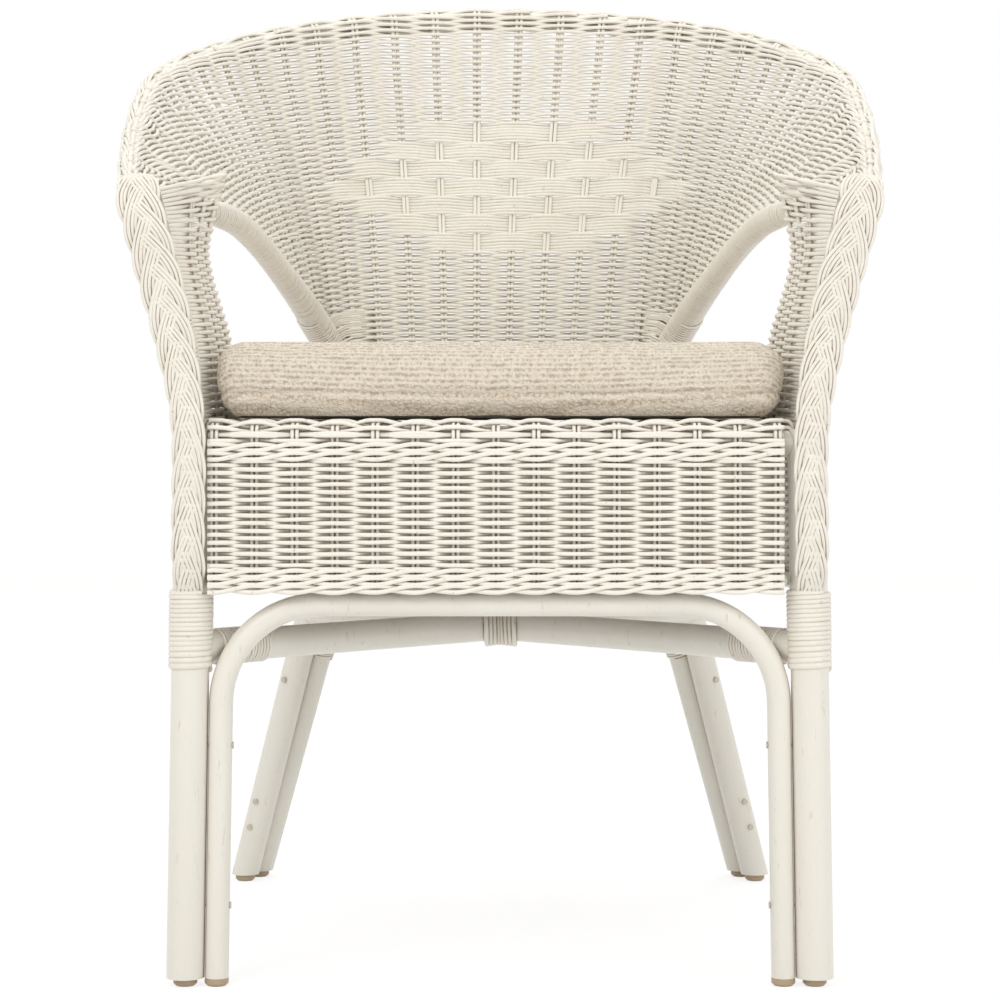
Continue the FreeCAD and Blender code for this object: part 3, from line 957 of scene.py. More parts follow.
@dataclass
class RowField:
    """Where the pairs of rows of the shell run.

    The first pairs follow the rim round the roll. Those below fall towards the arms, all by the
    same share of their height over the seat, crowd where the roll comes down on them and end
    there or at the slanting poles. Where the wall widens, pairs are added, each at a rank of its
    own, so that the rows stay evenly close.
    """

    sections: dict[int, Section]
    steps: int
    first: float
    pitch: float
    rolled: int = 3
    dense: float = 1.6
    block: int = 16
    seat_height: float = 415.0
    fall_rate: float = 0.0155
    fall_from: float = 3.7
    crowd: float = 9.0
    crowd_over: float = 3.0
    early: float = 0.8
    settled: float = 20.0
    even_to: float = 5.0
    even_over: float = 4.0
    places: dict[int, list[float]] = field(default_factory=dict)
    weights: dict[int, list[float]] = field(default_factory=dict)

    def rank(self, pair: int) -> float:
        """Even spread of ranks from 0 to 1 within a block."""
        value, part = 0.5 / self.block, 0.5
        pair %= self.block
        while pair:
            value += part * (pair % 2)
            pair //= 2
            part /= 2
        return value

    @property
    def start(self) -> float:
        """Distance at which the roll ends."""
        return self.first + 2 * self.pitch * self.rolled

    def fill(self) -> int:
        """Works out the distance and the weight of every pair at every section.

        Returns:
            Number of pairs.
        """
        span = 2 * self.pitch
        middle = self.sections[0]
        blocks = math.ceil((middle.marks[-1] - self.start) / span * self.dense / self.block)
        count = blocks * self.block
        levels = [middle.height_at(self.start + span / self.dense * k) for k in range(count + 1)]
        for i, section in self.sections.items():
            column = abs(i / self.steps)
            share = self.fall_rate * max(column - self.fall_from, 0.0)
            marks = [section.distance_at(z - share * (z - self.seat_height)) for z in levels]
            places = []
            weights = []
            for first in range(0, count, self.block):
                part = []
                for k in range(first, first + self.block):
                    room = (marks[k + 1] - marks[k]) / span
                    room += (1 / self.dense - room) * (1 - smooth((column - self.even_to) / self.even_over))
                    part.append(min(max((room - self.rank(k)) * self.block + 0.5, 0.0), 1.0))
                length = marks[first + self.block] - marks[first]
                passed = 0.0
                for weight in part:
                    places.append(marks[first] + length * passed / sum(part))
                    passed += weight
                weights += part
            places.append(marks[-1])
            self.places[i] = places
            self.weights[i] = weights
        return self.rolled + count

    def at(self, i: int, row: int) -> Optional[float]:
        """Distance of a row at a section, or None where it doesn't run."""
        pair = row // 2 - self.rolled
        if pair < 0:
            return self.first + row * self.pitch
        if self.weights[i][pair] < 0.5:
            return None
        low, high = self.places[i][pair:pair + 2]
        past = low + (row % 2) * 0.5 * (high - low) - self.start
        reach = self.crowd * smooth((abs(i / self.steps) - self.even_to) / self.crowd_over) + 0.01
        if past < -self.early * reach or self.start + past > self.sections[i].marks[-1]:
            return None
        if past < self.settled * reach:
            past = reach * math.log1p(math.exp(past / reach))
        return self.start + past

    def numbers(self) -> list[Optional[int]]:
        """Number of each pair from the rim down the middle, or None where it isn't there."""
        numbers: list[Optional[int]] = list(range(self.rolled))
        seen = self.rolled
        for weight in self.weights[0]:
            there = weight >= 0.5
            numbers.append(seen if there else None)
            seen += there
        return numbers


@dataclass
class BackShell:
    """Woven shell with its stakes, rolled over the rim."""

    form: ShellForm = field(default_factory=ShellForm)
    diamond: Diamond = field(default_factory=Diamond)
    strand_radius: float = 1.7
    stake_radius: float = 1.8
    stake_gap: float = 0.052
    pitch: float = 2.9
    depth: float = 2.8
    diamond_depth: float = 2.2
    roll_depth: float = 2.0
    first_row: float = 2.0
    last_column: float = 18.5
    steps: int = 8
    rows_a_piece: int = 60
    least_run: int = 4
    roll_end: float = 20.0
    roll_fade: float = 18.0
    unevenness: float = 0.25
    sway: float = 0.26
    tremble: float = 0.14
    swelling: float = 0.1
    stake_start: float = 4.0
    stake_step: float = 5.0
    stake_end_gap: float = 0.5
    stake_bend: float = 0.35

    def sections(self) -> dict[int, Section]:
        """Sections at every step between the outer columns."""
        last = int(self.last_column * self.steps)
        return {i: self.form.section(i / self.steps) for i in range(-last, last + 1)}

    def row(self, rows: RowField, row: int, number: Optional[int], middle: int) -> list[list[Vector]]:
        """Points of one row, in as many runs as the shell leaves it.

        Args:
            rows: the field of rows.
            row: the row's number in the field.
            number: its number down the middle of the back, or None where it isn't there.
            middle: that number at the middle of the diamond.

        Returns:
            The runs.
        """
        def side(column: int) -> float:
            """Whether the row lies before or behind a stake."""
            if number is None:
                return shown(Weave.PLAIN, row, column)
            return self.diamond.shown(number, middle, column)

        runs: list[list[Vector]] = [[]]
        for i in sorted(rows.sections):
            column = i / self.steps
            distance = rows.at(i, row)
            if distance is None:
                if runs[-1]:
                    runs.append([])
                continue
            sway = self.sway * wander(column * 0.45, row * 0.31)
            sway += self.tremble * wander(column * 1.7, row * 1.9)
            section = rows.sections[i]
            point, normal = section.at(min(max(distance + sway, 0.0), section.marks[-1]))
            share = smooth((distance - self.roll_end) / self.roll_fade)
            depth = self.roll_depth + (self.depth - self.roll_depth) * share
            if number is not None and self.diamond.holds(number, middle, column):
                depth = self.diamond_depth
            offset = depth * between_stakes(side, column)
            offset += self.unevenness * wander(column * 0.8, row * 2.3, 5.0)
            runs[-1].append(place(point + normal * offset))
        return runs

    def middle_row(self, rows: RowField, numbers: Sequence[Optional[int]]) -> int:
        """Number of the row nearest to the middle of the diamond."""
        gaps = {}
        for pair, number in enumerate(numbers):
            distance = rows.at(0, 2 * pair)
            if number is not None and distance is not None:
                gaps[2 * number] = abs(rows.sections[0].height_at(distance) - self.diamond.middle_height)
        return min(gaps, key=gaps.get)

    def build_rows(self, finish: bpy.types.Material) -> None:
        """Makes the rows in a few pieces, from the rim down."""
        rows = RowField(self.sections(), self.steps, self.first_row, self.pitch)
        count = 2 * rows.fill()
        numbers = rows.numbers()
        middle = self.middle_row(rows, numbers)
        for piece_number, start in enumerate(range(0, count, self.rows_a_piece), 1):
            strands = Strands("back_rows_%d" % piece_number, self.strand_radius)
            for row in range(start, min(start + self.rows_a_piece, count)):
                pair = numbers[row // 2]
                number = None if pair is None else 2 * pair + row % 2
                for run in self.row(rows, row, number, middle):
                    if len(run) >= self.least_run:
                        swell = [wander(n * 0.05, row * 0.77) for n in range(len(run))]
                        strands.add(run, [1 + self.swelling * value for value in swell])
            nodes = ("back_weave",) if piece_number == 1 else ()
            dress(strands.build(), finish, nodes)

    def build_stakes(self, finish: bpy.types.Material) -> None:
        """Makes the pairs of stakes."""
        strands = Strands("back_stakes", self.stake_radius)
        last = int(self.last_column)
        for column in range(-last, last + 1):
            for side in (-1, 1):
                section = self.form.section(column + side * self.stake_gap)
                length = section.marks[-1] - self.stake_start
                last_mark = section.marks[-1] - self.stake_end_gap
                points = []
                for distance in spread(self.stake_start, last_mark, int(length / self.stake_step)):
                    point, normal = section.at(distance)
                    bend = self.stake_bend * wander(distance * 0.02, column * 1.7, side)
                    points.append(place(point + normal * bend))
                strands.add(points)
        dress(strands.build(), finish)


@dataclass
class RimPlait:
    """Plait laid on the outer side of the rim roll."""

    form: ShellForm
    plait: Plait = field(default_factory=lambda: Plait(5, 3, 1.4, 2.6, 100.0, 1.8, 3.0))
    width: float = 20.0
    out: float = 4.4
    up: float = -1.5
    tip: float = 18.3
    spots: int = 64
    sample: float = 4.0

    def build(self, finish: bpy.types.Material) -> None:
        """Makes the plait.

        Args:
            finish: its material.
        """
        points = []
        for i in range(self.spots + 1):
            column = self.tip * (2 * i / self.spots - 1)
            share = 0.5 + column / (2 * self.form.stakes)
            rim = self.form.rim_point(share)
            back = max(rim.y - self.form.rim_side_depth, 0.0) / self.form.rim_back_depth
            out = Vector((rim.x / self.form.rim_half_width, back, 0.0)).normalized()
            points.append(rim + out * self.out + Vector((0, 0, self.up)))
        strands = Strands("rim_plait_canes", self.plait.cane_radius)
        line = Line(points, Vector((0, 0, 1)), self.sample)
        self.plait.fill(strands, line, lambda s: self.width)
        dress(strands.build(), finish, ("rim_plait",))


# Edges, arms and plaits


@dataclass
class SlantingRoll:
    """Cane wound on the pole under each side edge of the back."""

    side: Side
    form: ShellForm
    radius: float = 10.6
    low_radius: float = 13.4
    cane_radius: float = 1.34
    pitch: float = 3.1
    wrapped: float = 474.0
    reach_column: float = 4.15
    reach_end: float = 118.0
    reach_pitch: float = 3.5
    reach_rise: float = 7.0
    reach_step: float = 0.35
    reach_steps: int = 16
    reach_clear: float = 3.0
    reach_first: float = 0.7
    reach_sway: float = 0.4
    reach_tremble: float = 0.5
    rise_over: float = 70.0
    emerge_from: float = -1.6
    emerge_by: float = 4.2
    emerge_over: float = 0.5
    slip: float = 0.3
    wobble: float = 0.35
    turn_from: float = -2.1
    turn_by: float = 2.9
    turn_steps: int = 7
    thick_to: float = 60.0
    thick_fade: float = 190.0
    tip_radius: float = 7.4
    tip_from: float = 372.0
    tip_fade: float = 60.0
    per_turn: int = 13

    def size(self, s: float) -> float:
        """Distance of the cane's middle from the pole's, at a distance along the pole."""
        thick = 1 - smooth((s - self.thick_to) / self.thick_fade)
        thin = smooth((s - self.tip_from) / self.tip_fade)
        size = self.radius + (self.low_radius - self.radius) * thick
        return size - (self.radius - self.tip_radius) * thin - self.cane_radius

    def reach_in(self, strands: Strands, line: Line) -> None:
        """Lays the canes that come out of the wall beside the seat and pass over the pole.

        Args:
            strands: strands to add them to.
            line: middle line of the pole.
        """
        columns = [self.reach_column + self.reach_step * i for i in range(self.reach_steps)]
        walls = [self.form.section(self.side.value * column) for column in columns]
        for number in range(int(self.reach_end / self.reach_pitch)):
            s = self.reach_pitch * (number + self.reach_first)
            s += self.reach_sway * wander(number * 0.9, self.side.value)
            frame_at = line.at(s)
            point = frame_at[0]
            size = self.size(s) + self.cane_radius
            high = point.z + self.reach_tremble * wander(number * 0.7, 3.0, self.side.value)
            path = []
            for column, wall in zip(columns, walls):
                rise = self.reach_rise * smooth((abs(point.x) - abs(wall.points[-1].x)) / self.rise_over)
                spot = wall.at(wall.distance_at(high + rise))
                if spot is None or abs(spot[0].x) > abs(point.x) - size - self.reach_clear:
                    break
                out = smooth((column - self.reach_column) / self.emerge_over)
                path.append(place(spot[0] + spot[1] * (self.emerge_from + self.emerge_by * out)))
            for i in range(self.turn_steps + 1):
                angle = self.turn_from + self.turn_by * i / self.turn_steps
                if self.side is Side.LEFT:
                    angle = math.pi - angle
                path.append(place(around(frame_at, size, angle)))
            strands.add(path)

    def build(self, finish: bpy.types.Material) -> None:
        """Makes the wrap and the canes that reach in over the wall beside the seat.

        Args:
            finish: its material.
        """
        line = self.side.line(self.form.edge)
        strands = Strands("edge_wrap_" + self.side.word, self.cane_radius)
        points = []
        for i in range(int(self.wrapped / self.pitch * self.per_turn) + 1):
            turn = i / self.per_turn
            slip = self.slip * self.pitch * wander(turn * 0.6, self.side.value, 4.0)
            size = self.size(self.pitch * turn) + self.wobble * wander(turn * 1.3, self.side.value)
            points.append(place(around(line.at(self.pitch * turn + slip), size, TURN * turn)))
        strands.add(points)
        self.reach_in(strands, line)
        dress(strands.build(), finish, ("back_edge_wrap_" + self.side.word,))


@dataclass
class ArmFront:
    """Front of an arm: wound pole, woven strip behind it and the plait before it."""

    side: Side
    pole: list[Vector] = field(default_factory=lambda: [
        Vector((229.5, 0, 421)), Vector((237, 0, 490)), Vector((262, 1, 571)), Vector((276, 20, 597)),
    ])
    pole_wrap: float = 8.7
    cane_radius: float = 1.3
    pitch: float = 3.0
    panel_low: float = 420.0
    panel_high: float = 600.0
    panel_rows: int = 60
    panel_rear: tuple[tuple[float, float], ...] = (
        (425.0, 206.0), (470.0, 210.5), (495.0, 216.5), (510.0, 221.5), (525.0, 226.0), (540.0, 229.5),
        (551.0, 231.0), (562.0, 229.5), (572.0, 226.0), (590.0, 219.0), (606.0, 214.0),
    )
    panel_front_y: float = 4.0
    panel_rear_y: float = 91.0
    stakes: int = 3
    strand_radius: float = 1.7
    plait_points: list[Vector] = field(default_factory=lambda: [
        Vector((231.5, -6.5, 282)), Vector((231.5, -9.5, 293)), Vector((231.5, -17.0, 306)),
        Vector((231.5, -22.5, 325)),
        Vector((232, -23.2, 425)), Vector((246, -17, 500)), Vector((263, -14, 563)),
        Vector((270, -9, 588)), Vector((272, 1, 601)), Vector((273, 16, 606)), Vector((274, 34, 606)),
    ])
    plait: Plait = field(default_factory=Plait)
    panel_depth: float = 2.2
    panel_steps: int = 7
    panel_sway: float = 0.35
    panel_loop: float = 0.13
    panel_stake_radius: float = 1.5
    panel_stake_gap: float = 0.055
    panel_stake_step: float = 14.0
    lean_low: float = 425.6
    lean_high: float = 582.0
    lean_bend: float = 1.6
    front_half: float = 229.0
    front_lean: float = 24.0
    first_stake_y: float = 50.0
    stake_pitch: float = 20.0
    rear_rise: float = 5.0
    tip_rise: float = 15.0
    tip_from: float = 560.0
    tip_over: float = 40.0
    plait_width: float = 25.5
    plait_swell: float = 8.5
    swell_from: float = 120.0
    swell_over: float = 150.0
    foot_draw: float = 8.0
    foot_over: float = 36.0
    tip_draw: float = 9.0
    draw_before_end: float = 46.0
    draw_over: float = 40.0

    def build_pole_wrap(self, finish: bpy.types.Material) -> None:
        """Winds the arm pole from the seat to its tip."""
        line = self.side.line(self.pole)
        strands = Strands("arm_wrap_" + self.side.word, self.cane_radius)
        radius = self.pole_wrap - self.cane_radius
        turns = wrap_points(line, 0.0, line.length, self.pitch, lambda s: radius, 12, 3 + self.side.value)
        strands.add(turns)
        dress(strands.build(), finish, ("arm_pole_wrap_" + self.side.word,))

    def panel_spot(self, column: float, height: float) -> Spot:
        """Point and outward normal of the woven strip.

        Args:
            column: stake number, -1 at the arm pole.
            height: drawn height.

        Returns:
            The point and the normal that points out of the chair.
        """
        lean = max((height - self.lean_low) / (self.lean_high - self.lean_low), 0.0) ** self.lean_bend
        front = Vector((self.front_half + self.front_lean * lean, self.panel_front_y, height))
        heights = [pair[0] for pair in self.panel_rear]
        i = min(max(bisect.bisect_right(heights, height) - 1, 0), len(heights) - 2)
        (low, near), (high, far) = self.panel_rear[i:i + 2]
        rear = Vector((near + (far - near) * (height - low) / (high - low), self.panel_rear_y, height))
        if column > 0:
            forward = self.first_stake_y + self.stake_pitch * column
        else:
            forward = self.panel_front_y + (self.first_stake_y - self.panel_front_y) * (column + 1)
        share = (forward - self.panel_front_y) / (self.panel_rear_y - self.panel_front_y)
        point = front.lerp(rear, share)
        tip = smooth((height - self.tip_from) / self.tip_over)
        point.z += (self.rear_rise + self.tip_rise * tip) * share
        normal = Vector((0, 0, 1)).cross(front - rear).normalized()
        if normal.x < 0:
            normal = -normal
        return self.side.put(point), self.side.put(normal)

    def build_panel(self, finish: bpy.types.Material) -> None:
        """Weaves the strip; each strand goes back round the last stake."""
        strands = Strands("arm_panel_rows_" + self.side.word, self.strand_radius)
        pitch = (self.panel_high - self.panel_low) / self.panel_rows
        last = self.stakes - 1
        count = self.panel_steps * self.stakes
        marks = spread(-1, last, count)
        for pair in range(self.panel_rows // 2):
            points = []
            for row in (2 * pair, 2 * pair + 1):
                height = self.panel_low + row * pitch
                for mark in reversed(marks) if row % 2 else marks:
                    sway = self.panel_sway * wander(mark, row * 0.9, self.side.value)
                    point, normal = self.panel_spot(mark, height + sway)
                    offset = self.panel_depth * between_stakes(lambda c: shown(Weave.PLAIN, row, c), mark)
                    offset *= smooth((mark + 0.6) / 0.5)
                    points.append(place(point + normal * offset))
                if row % 2 == 0:
                    bow = self.panel_loop + 0.04 * wander(row * 1.3, 2.0)
                    point, _ = self.panel_spot(last + bow, self.panel_low + (row + 0.5) * pitch)
                    points.append(place(point))
            strands.add(points)
        dress(strands.build(), finish, ("arm_panel_" + self.side.word,))
        stakes = Strands("arm_panel_stakes_" + self.side.word, self.panel_stake_radius)
        heights = [self.panel_low - 3 + self.panel_stake_step * i for i in range(13)]
        for stake in range(self.stakes):
            for off in (-self.panel_stake_gap, self.panel_stake_gap):
                stakes.add([place(self.panel_spot(stake + off, height)[0]) for height in heights])
        dress(stakes.build(), finish)

    def build_plait(self, finish: bpy.types.Material) -> None:
        """Plaits the front edge and carries it over the tip of the arm."""
        line = self.side.line(self.plait_points)

        def width(s: float) -> float:
            """Width of the plait, larger near the top and drawn in at both ends."""
            drawn_in = self.foot_draw * (1 - smooth(s / self.foot_over))
            drawn_in += self.tip_draw * smooth((s - line.length + self.draw_before_end) / self.draw_over)
            swell = smooth((s - self.swell_from) / self.swell_over)
            return self.plait_width + self.plait_swell * swell - drawn_in

        strands = Strands("front_plait_canes_" + self.side.word, self.plait.cane_radius)
        self.plait.fill(strands, line, width, float(self.side.value))
        dress(strands.build(), finish, ("front_plait_" + self.side.word,))

    def build(self, finishes: Finishes) -> None:
        """Makes every piece of the arm's front."""
        self.build_pole_wrap(finishes.wound)
        self.build_panel(finishes.strand)
        self.build_plait(finishes.cane)


# Apron and seat


@dataclass
class Apron:
    """Woven skirt round the seat and the seat's woven top."""

    strand_radius: float = 1.84
    stake_radius: float = 1.5
    depth: float = 3.0
    low: float = 297.0
    plain_low: float = 312.5
    plain_high: float = 393.0
    plain_pitch: float = 2.87
    wale_heights: tuple[float, ...] = (297.8, 303.6, 309.4, 396.8, 403.2)
    wale_radius: float = 1.95
    climb: float = 2.5
    top_heights: tuple[float, ...] = (408.2, 411.9)
    front_y: float = -14.3
    front_pitch: float = 30.0
    front_offset: float = -3.0
    front_columns: int = 7
    seat_height: float = 420.6
    seat_pitch: float = 3.7
    edge_radius: float = 9.0
    side_front_half: float = 228.0
    side_start_y: float = 16.0
    corner_low: Vector = field(default_factory=lambda: Vector((184, 431, 297)))
    corner_high: Vector = field(default_factory=lambda: Vector((149, 411, 416.7)))
    side_columns: int = 14
    rear_columns: int = 11
    corner_blend: float = 0.5
    corner_cut: float = 5.0
    sway: float = 0.55
    tremble: float = 0.3
    swelling: float = 0.16
    wale_steps: int = 8
    wale_depth: float = 3.0
    wale_out: float = 0.4
    wale_flat: float = 0.08
    front_margin: float = 0.15
    front_steps: int = 9
    rolled_rows: tuple[float, ...] = (1.5, 5.4, 9.4, 13.4)
    round_margin: float = 0.1
    round_steps: int = 7
    border_rows: int = 6
    border_drop: float = 4.4
    border_pitch: float = 2.9
    stake_gap: float = 1.75
    stake_start: float = 4.0
    front_stake_step: float = 6.0
    edge_stake_step: float = 2.4
    round_stake_step: float = 9.0
    seat_radius: float = 1.6
    seat_depth: float = 2.6
    seat_steps: int = 5
    seat_stake_radius: float = 1.4
    seat_stake_gap: float = 1.7

    def front_spot(self, column: float, height: float) -> Spot:
        """Point and outward normal of the front wall."""
        x = self.front_offset + self.front_pitch * column
        return Vector((x, self.front_y, height)), Vector((0, -1, 0))

    def rolled_spot(self, column: float, travel: float) -> Spot:
        """Point and normal on the rounded front edge; travel runs back from the front wall."""
        x = self.front_offset + self.front_pitch * column
        radius = self.edge_radius
        angle = min(travel / radius, math.pi / 2)
        normal = Vector((0, -math.cos(angle), math.sin(angle)))
        centre = Vector((x, self.front_y + radius, self.seat_height - radius))
        past = max(travel - radius * math.pi / 2, 0.0)
        return centre + normal * radius + Vector((0, past, 0)), normal

    def side_spot(self, column: float, height: float) -> Spot:
        """Point and outward normal of the wall that goes round sides and rear.

        Args:
            column: 0 at the right front leg, growing round the back to the left front leg.
            height: drawn height.

        Returns:
            The point and the normal.
        """
        share = (height - self.corner_low.z) / (self.corner_high.z - self.corner_low.z)
        corner = self.corner_low.lerp(self.corner_high, share)
        corner.z = height
        start = Vector((self.side_front_half, self.side_start_y, height))
        runs = [start, corner, on_left(corner), on_left(start)]
        counts = [self.side_columns, self.rear_columns, self.side_columns]
        index = 0
        first = 0.0
        while index < 2 and column > first + counts[index]:
            first += counts[index]
            index += 1
        point = runs[index].lerp(runs[index + 1], (column - first) / counts[index])
        run = runs[index + 1] - runs[index]
        normal = level_normal(run)
        for turn, corner_column in ((1, self.side_columns), (2, self.side_columns + self.rear_columns)):
            near = column - corner_column
            if abs(near) < self.corner_blend:
                before = level_normal(runs[turn] - runs[turn - 1])
                after = level_normal(runs[turn + 1] - runs[turn])
                normal = before.lerp(after, near + self.corner_blend).normalized()
                point -= (before + after).normalized() * (self.corner_cut * (self.corner_blend - abs(near)))
        return point, normal

    def weave(
        self,
        strands: Strands,
        spot: Callable[[float, float], Spot],
        first: float,
        last: float,
        heights: Iterable[tuple[int, float]],
        depth: float,
        steps: int,
        ends: Sequence[Vector] = (),
    ) -> None:
        """Adds rows of plain weave.

        Args:
            strands: where they go.
            spot: the surface.
            first: first column.
            last: last column.
            heights: number and height of each row.
            depth: how far a strand stands off at a stake.
            steps: points a column.
            ends: drawn offsets that turn both ends of a row down, given for the right end.
        """
        count = int((last - first) * steps)
        for row, height in heights:
            points = []
            for column in spread(first, last, count):
                sway = self.sway * wander(column * 0.6, row * 0.83)
                sway += self.tremble * wander(column * 2.1, row * 1.7)
                point, normal = spot(column, height + sway)
                offset = depth * between_stakes(lambda c: shown(Weave.PLAIN, row, c), column)
                points.append(point + normal * offset)
            tail = [points[-1] + off for off in ends]
            head = [points[0] + on_left(off) for off in reversed(ends)]
            drawn = head + points + tail
            thick = [1 + self.swelling * wander(i * 0.03, row * 0.9, 8.0) for i in range(len(drawn))]
            strands.add([place(point) for point in drawn], thick)

    def wale(
        self, strands: Strands, spot: Callable[[float, float], Spot], first: float, last: float
    ) -> None:
        """Adds the twined rows: three strands, each before two stakes and behind one."""
        count = int((last - first) * self.wale_steps)
        for level, height in enumerate(self.wale_heights):
            for strand in range(3):
                number = strand + level
                points = []
                for column in spread(first, last, count):
                    side = between_stakes(lambda c: shown(Weave.WALE, number, c), column, self.wale_flat)
                    climb = between_stakes(lambda c: (-1.0, 1.0, 0.0)[(c + number) % 3], column, 0.0)
                    sway = 0.3 * wander(column * 0.5, level * 3.3 + strand)
                    point, normal = spot(column, height + (self.climb * climb + sway))
                    points.append(place(point + normal * (self.wale_depth * side + self.wale_out)))
                strands.add(points)

    def heights(self) -> list[tuple[int, float]]:
        """Number and height of the plain rows and of the open rows above the upper wale."""
        count = int((self.plain_high - self.plain_low) / self.plain_pitch)
        rows = [(i, self.plain_low + i * self.plain_pitch) for i in range(count + 1)]
        return rows + [(count + 1 + i, height) for i, height in enumerate(self.top_heights)]

    def build_front(self, finish: bpy.types.Material) -> None:
        """Makes the front wall with its wales and the rounded edge."""
        edge = self.front_columns + self.front_margin
        strands = Strands("apron_front_rows", self.strand_radius)
        steps = self.front_steps
        self.weave(strands, self.front_spot, -edge, edge, self.heights(), self.depth, steps)
        self.weave(strands, self.rolled_spot, -edge, edge, enumerate(self.rolled_rows), self.depth, steps)
        dress(strands.build(), finish, ("apron_weave_front",))
        wales = Strands("apron_front_wales", self.wale_radius)
        self.wale(wales, self.front_spot, -edge, edge)
        dress(wales.build(), finish)

    def build_round(self, finish: bpy.types.Material) -> None:
        """Makes the wall round the sides and the rear."""
        first = self.round_margin
        last = 2 * self.side_columns + self.rear_columns - self.round_margin
        steps = self.round_steps
        strands = Strands("apron_round_rows", self.strand_radius)
        self.weave(strands, self.side_spot, first, last, self.heights(), self.depth, steps)
        foot = self.seat_height - self.border_drop
        border = [(row, foot + self.border_pitch * row) for row in range(self.border_rows)]
        near = self.side_columns - 0.5
        far = self.side_columns + self.rear_columns + 0.5
        self.weave(strands, self.side_spot, first, near, border, self.depth, steps)
        self.weave(strands, self.side_spot, far, last, border, self.depth, steps)
        nodes = ("apron_weave_left", "apron_weave_right", "apron_weave_rear")
        dress(strands.build(), finish, nodes)
        wales = Strands("apron_round_wales", self.wale_radius)
        self.wale(wales, self.side_spot, first, last)
        dress(wales.build(), finish)

    def build_stakes(self, finish: bpy.types.Material) -> None:
        """Makes the stakes of the walls; the front pairs bend over the edge into the seat."""
        strands = Strands("apron_stakes", self.stake_radius)
        gap = self.stake_gap / self.front_pitch
        foot = self.low + self.stake_start
        for column in range(-self.front_columns, self.front_columns + 1):
            for side in (-1, 1):
                at = column + side * gap
                points = [self.front_spot(at, foot + i * self.front_stake_step)[0] for i in range(19)]
                points += [self.rolled_spot(at, i * self.edge_stake_step)[0] for i in range(1, 8)]
                strands.add([place(point) for point in points])
        last = 2 * self.side_columns + self.rear_columns
        for column in range(1, last):
            for side in (-1, 1):
                at = column + side * gap
                points = [self.side_spot(at, foot + i * self.round_stake_step)[0] for i in range(13)]
                strands.add([place(point) for point in points])
        dress(strands.build(), finish)

    def seat_half(self, y: float) -> float:
        """Half width of the seat at a depth."""
        rear = self.corner_high
        share = (y - self.front_y) / (rear.y - self.front_y)
        return self.side_front_half + (rear.x - self.side_front_half) * min(max(share, 0), 1)

    def build_seat(self, finish: bpy.types.Material) -> None:
        """Weaves the top of the seat and turns its rows down over the side rails."""
        strands = Strands("seat_rows", self.seat_radius)
        start = self.front_y + self.edge_radius + 2.5
        count = int((self.corner_high.y - 5.0 - start) / self.seat_pitch)
        drop = (Vector((2.6, 0, -2.2)), Vector((3.6, 0, -6.5)))
        for row in range(count + 1):
            y = start + row * self.seat_pitch
            half = self.seat_half(y) - 1.5
            if y < 19.0:
                half = min(half, 216.0)
            last = half / self.front_pitch

            def spot(column: float, shift: float) -> Spot:
                """Point and normal of the seat's top."""
                point = Vector((self.front_pitch * column, y + shift, self.seat_height))
                return point, Vector((0, 0, 1))

            self.weave(strands, spot, -last, last, [(row, 0.0)], self.seat_depth, self.seat_steps, drop)
        dress(strands.build(), finish, ("seat_weave",))
        stakes = Strands("seat_stakes", self.seat_stake_radius)
        for column in range(-self.front_columns, self.front_columns + 1):
            x = self.front_offset + self.front_pitch * column
            for off in (-self.seat_stake_gap, self.seat_stake_gap):
                rear = min(self.corner_high.y - 3.0, self.reach_back(abs(x + off)))
                if rear > start + 20:
                    path = [Vector((x + off, y, self.seat_height)) for y in spread(start, rear, 12)]
                    stakes.add([place(point) for point in path])
        dress(stakes.build(), finish)

    def reach_back(self, x: float) -> float:
        """Depth at which the side of the seat comes in to x."""
        rear = self.corner_high
        share = (self.side_front_half - x) / (self.side_front_half - rear.x)
        return self.front_y + (rear.y - self.front_y) * share

    def build(self, finishes: Finishes) -> None:
        """Makes every piece of the apron and the seat."""
        self.build_front(finishes.strand)
        self.build_round(finishes.strand)
        self.build_stakes(finishes.strand)
        self.build_seat(finishes.strand)


# Bindings


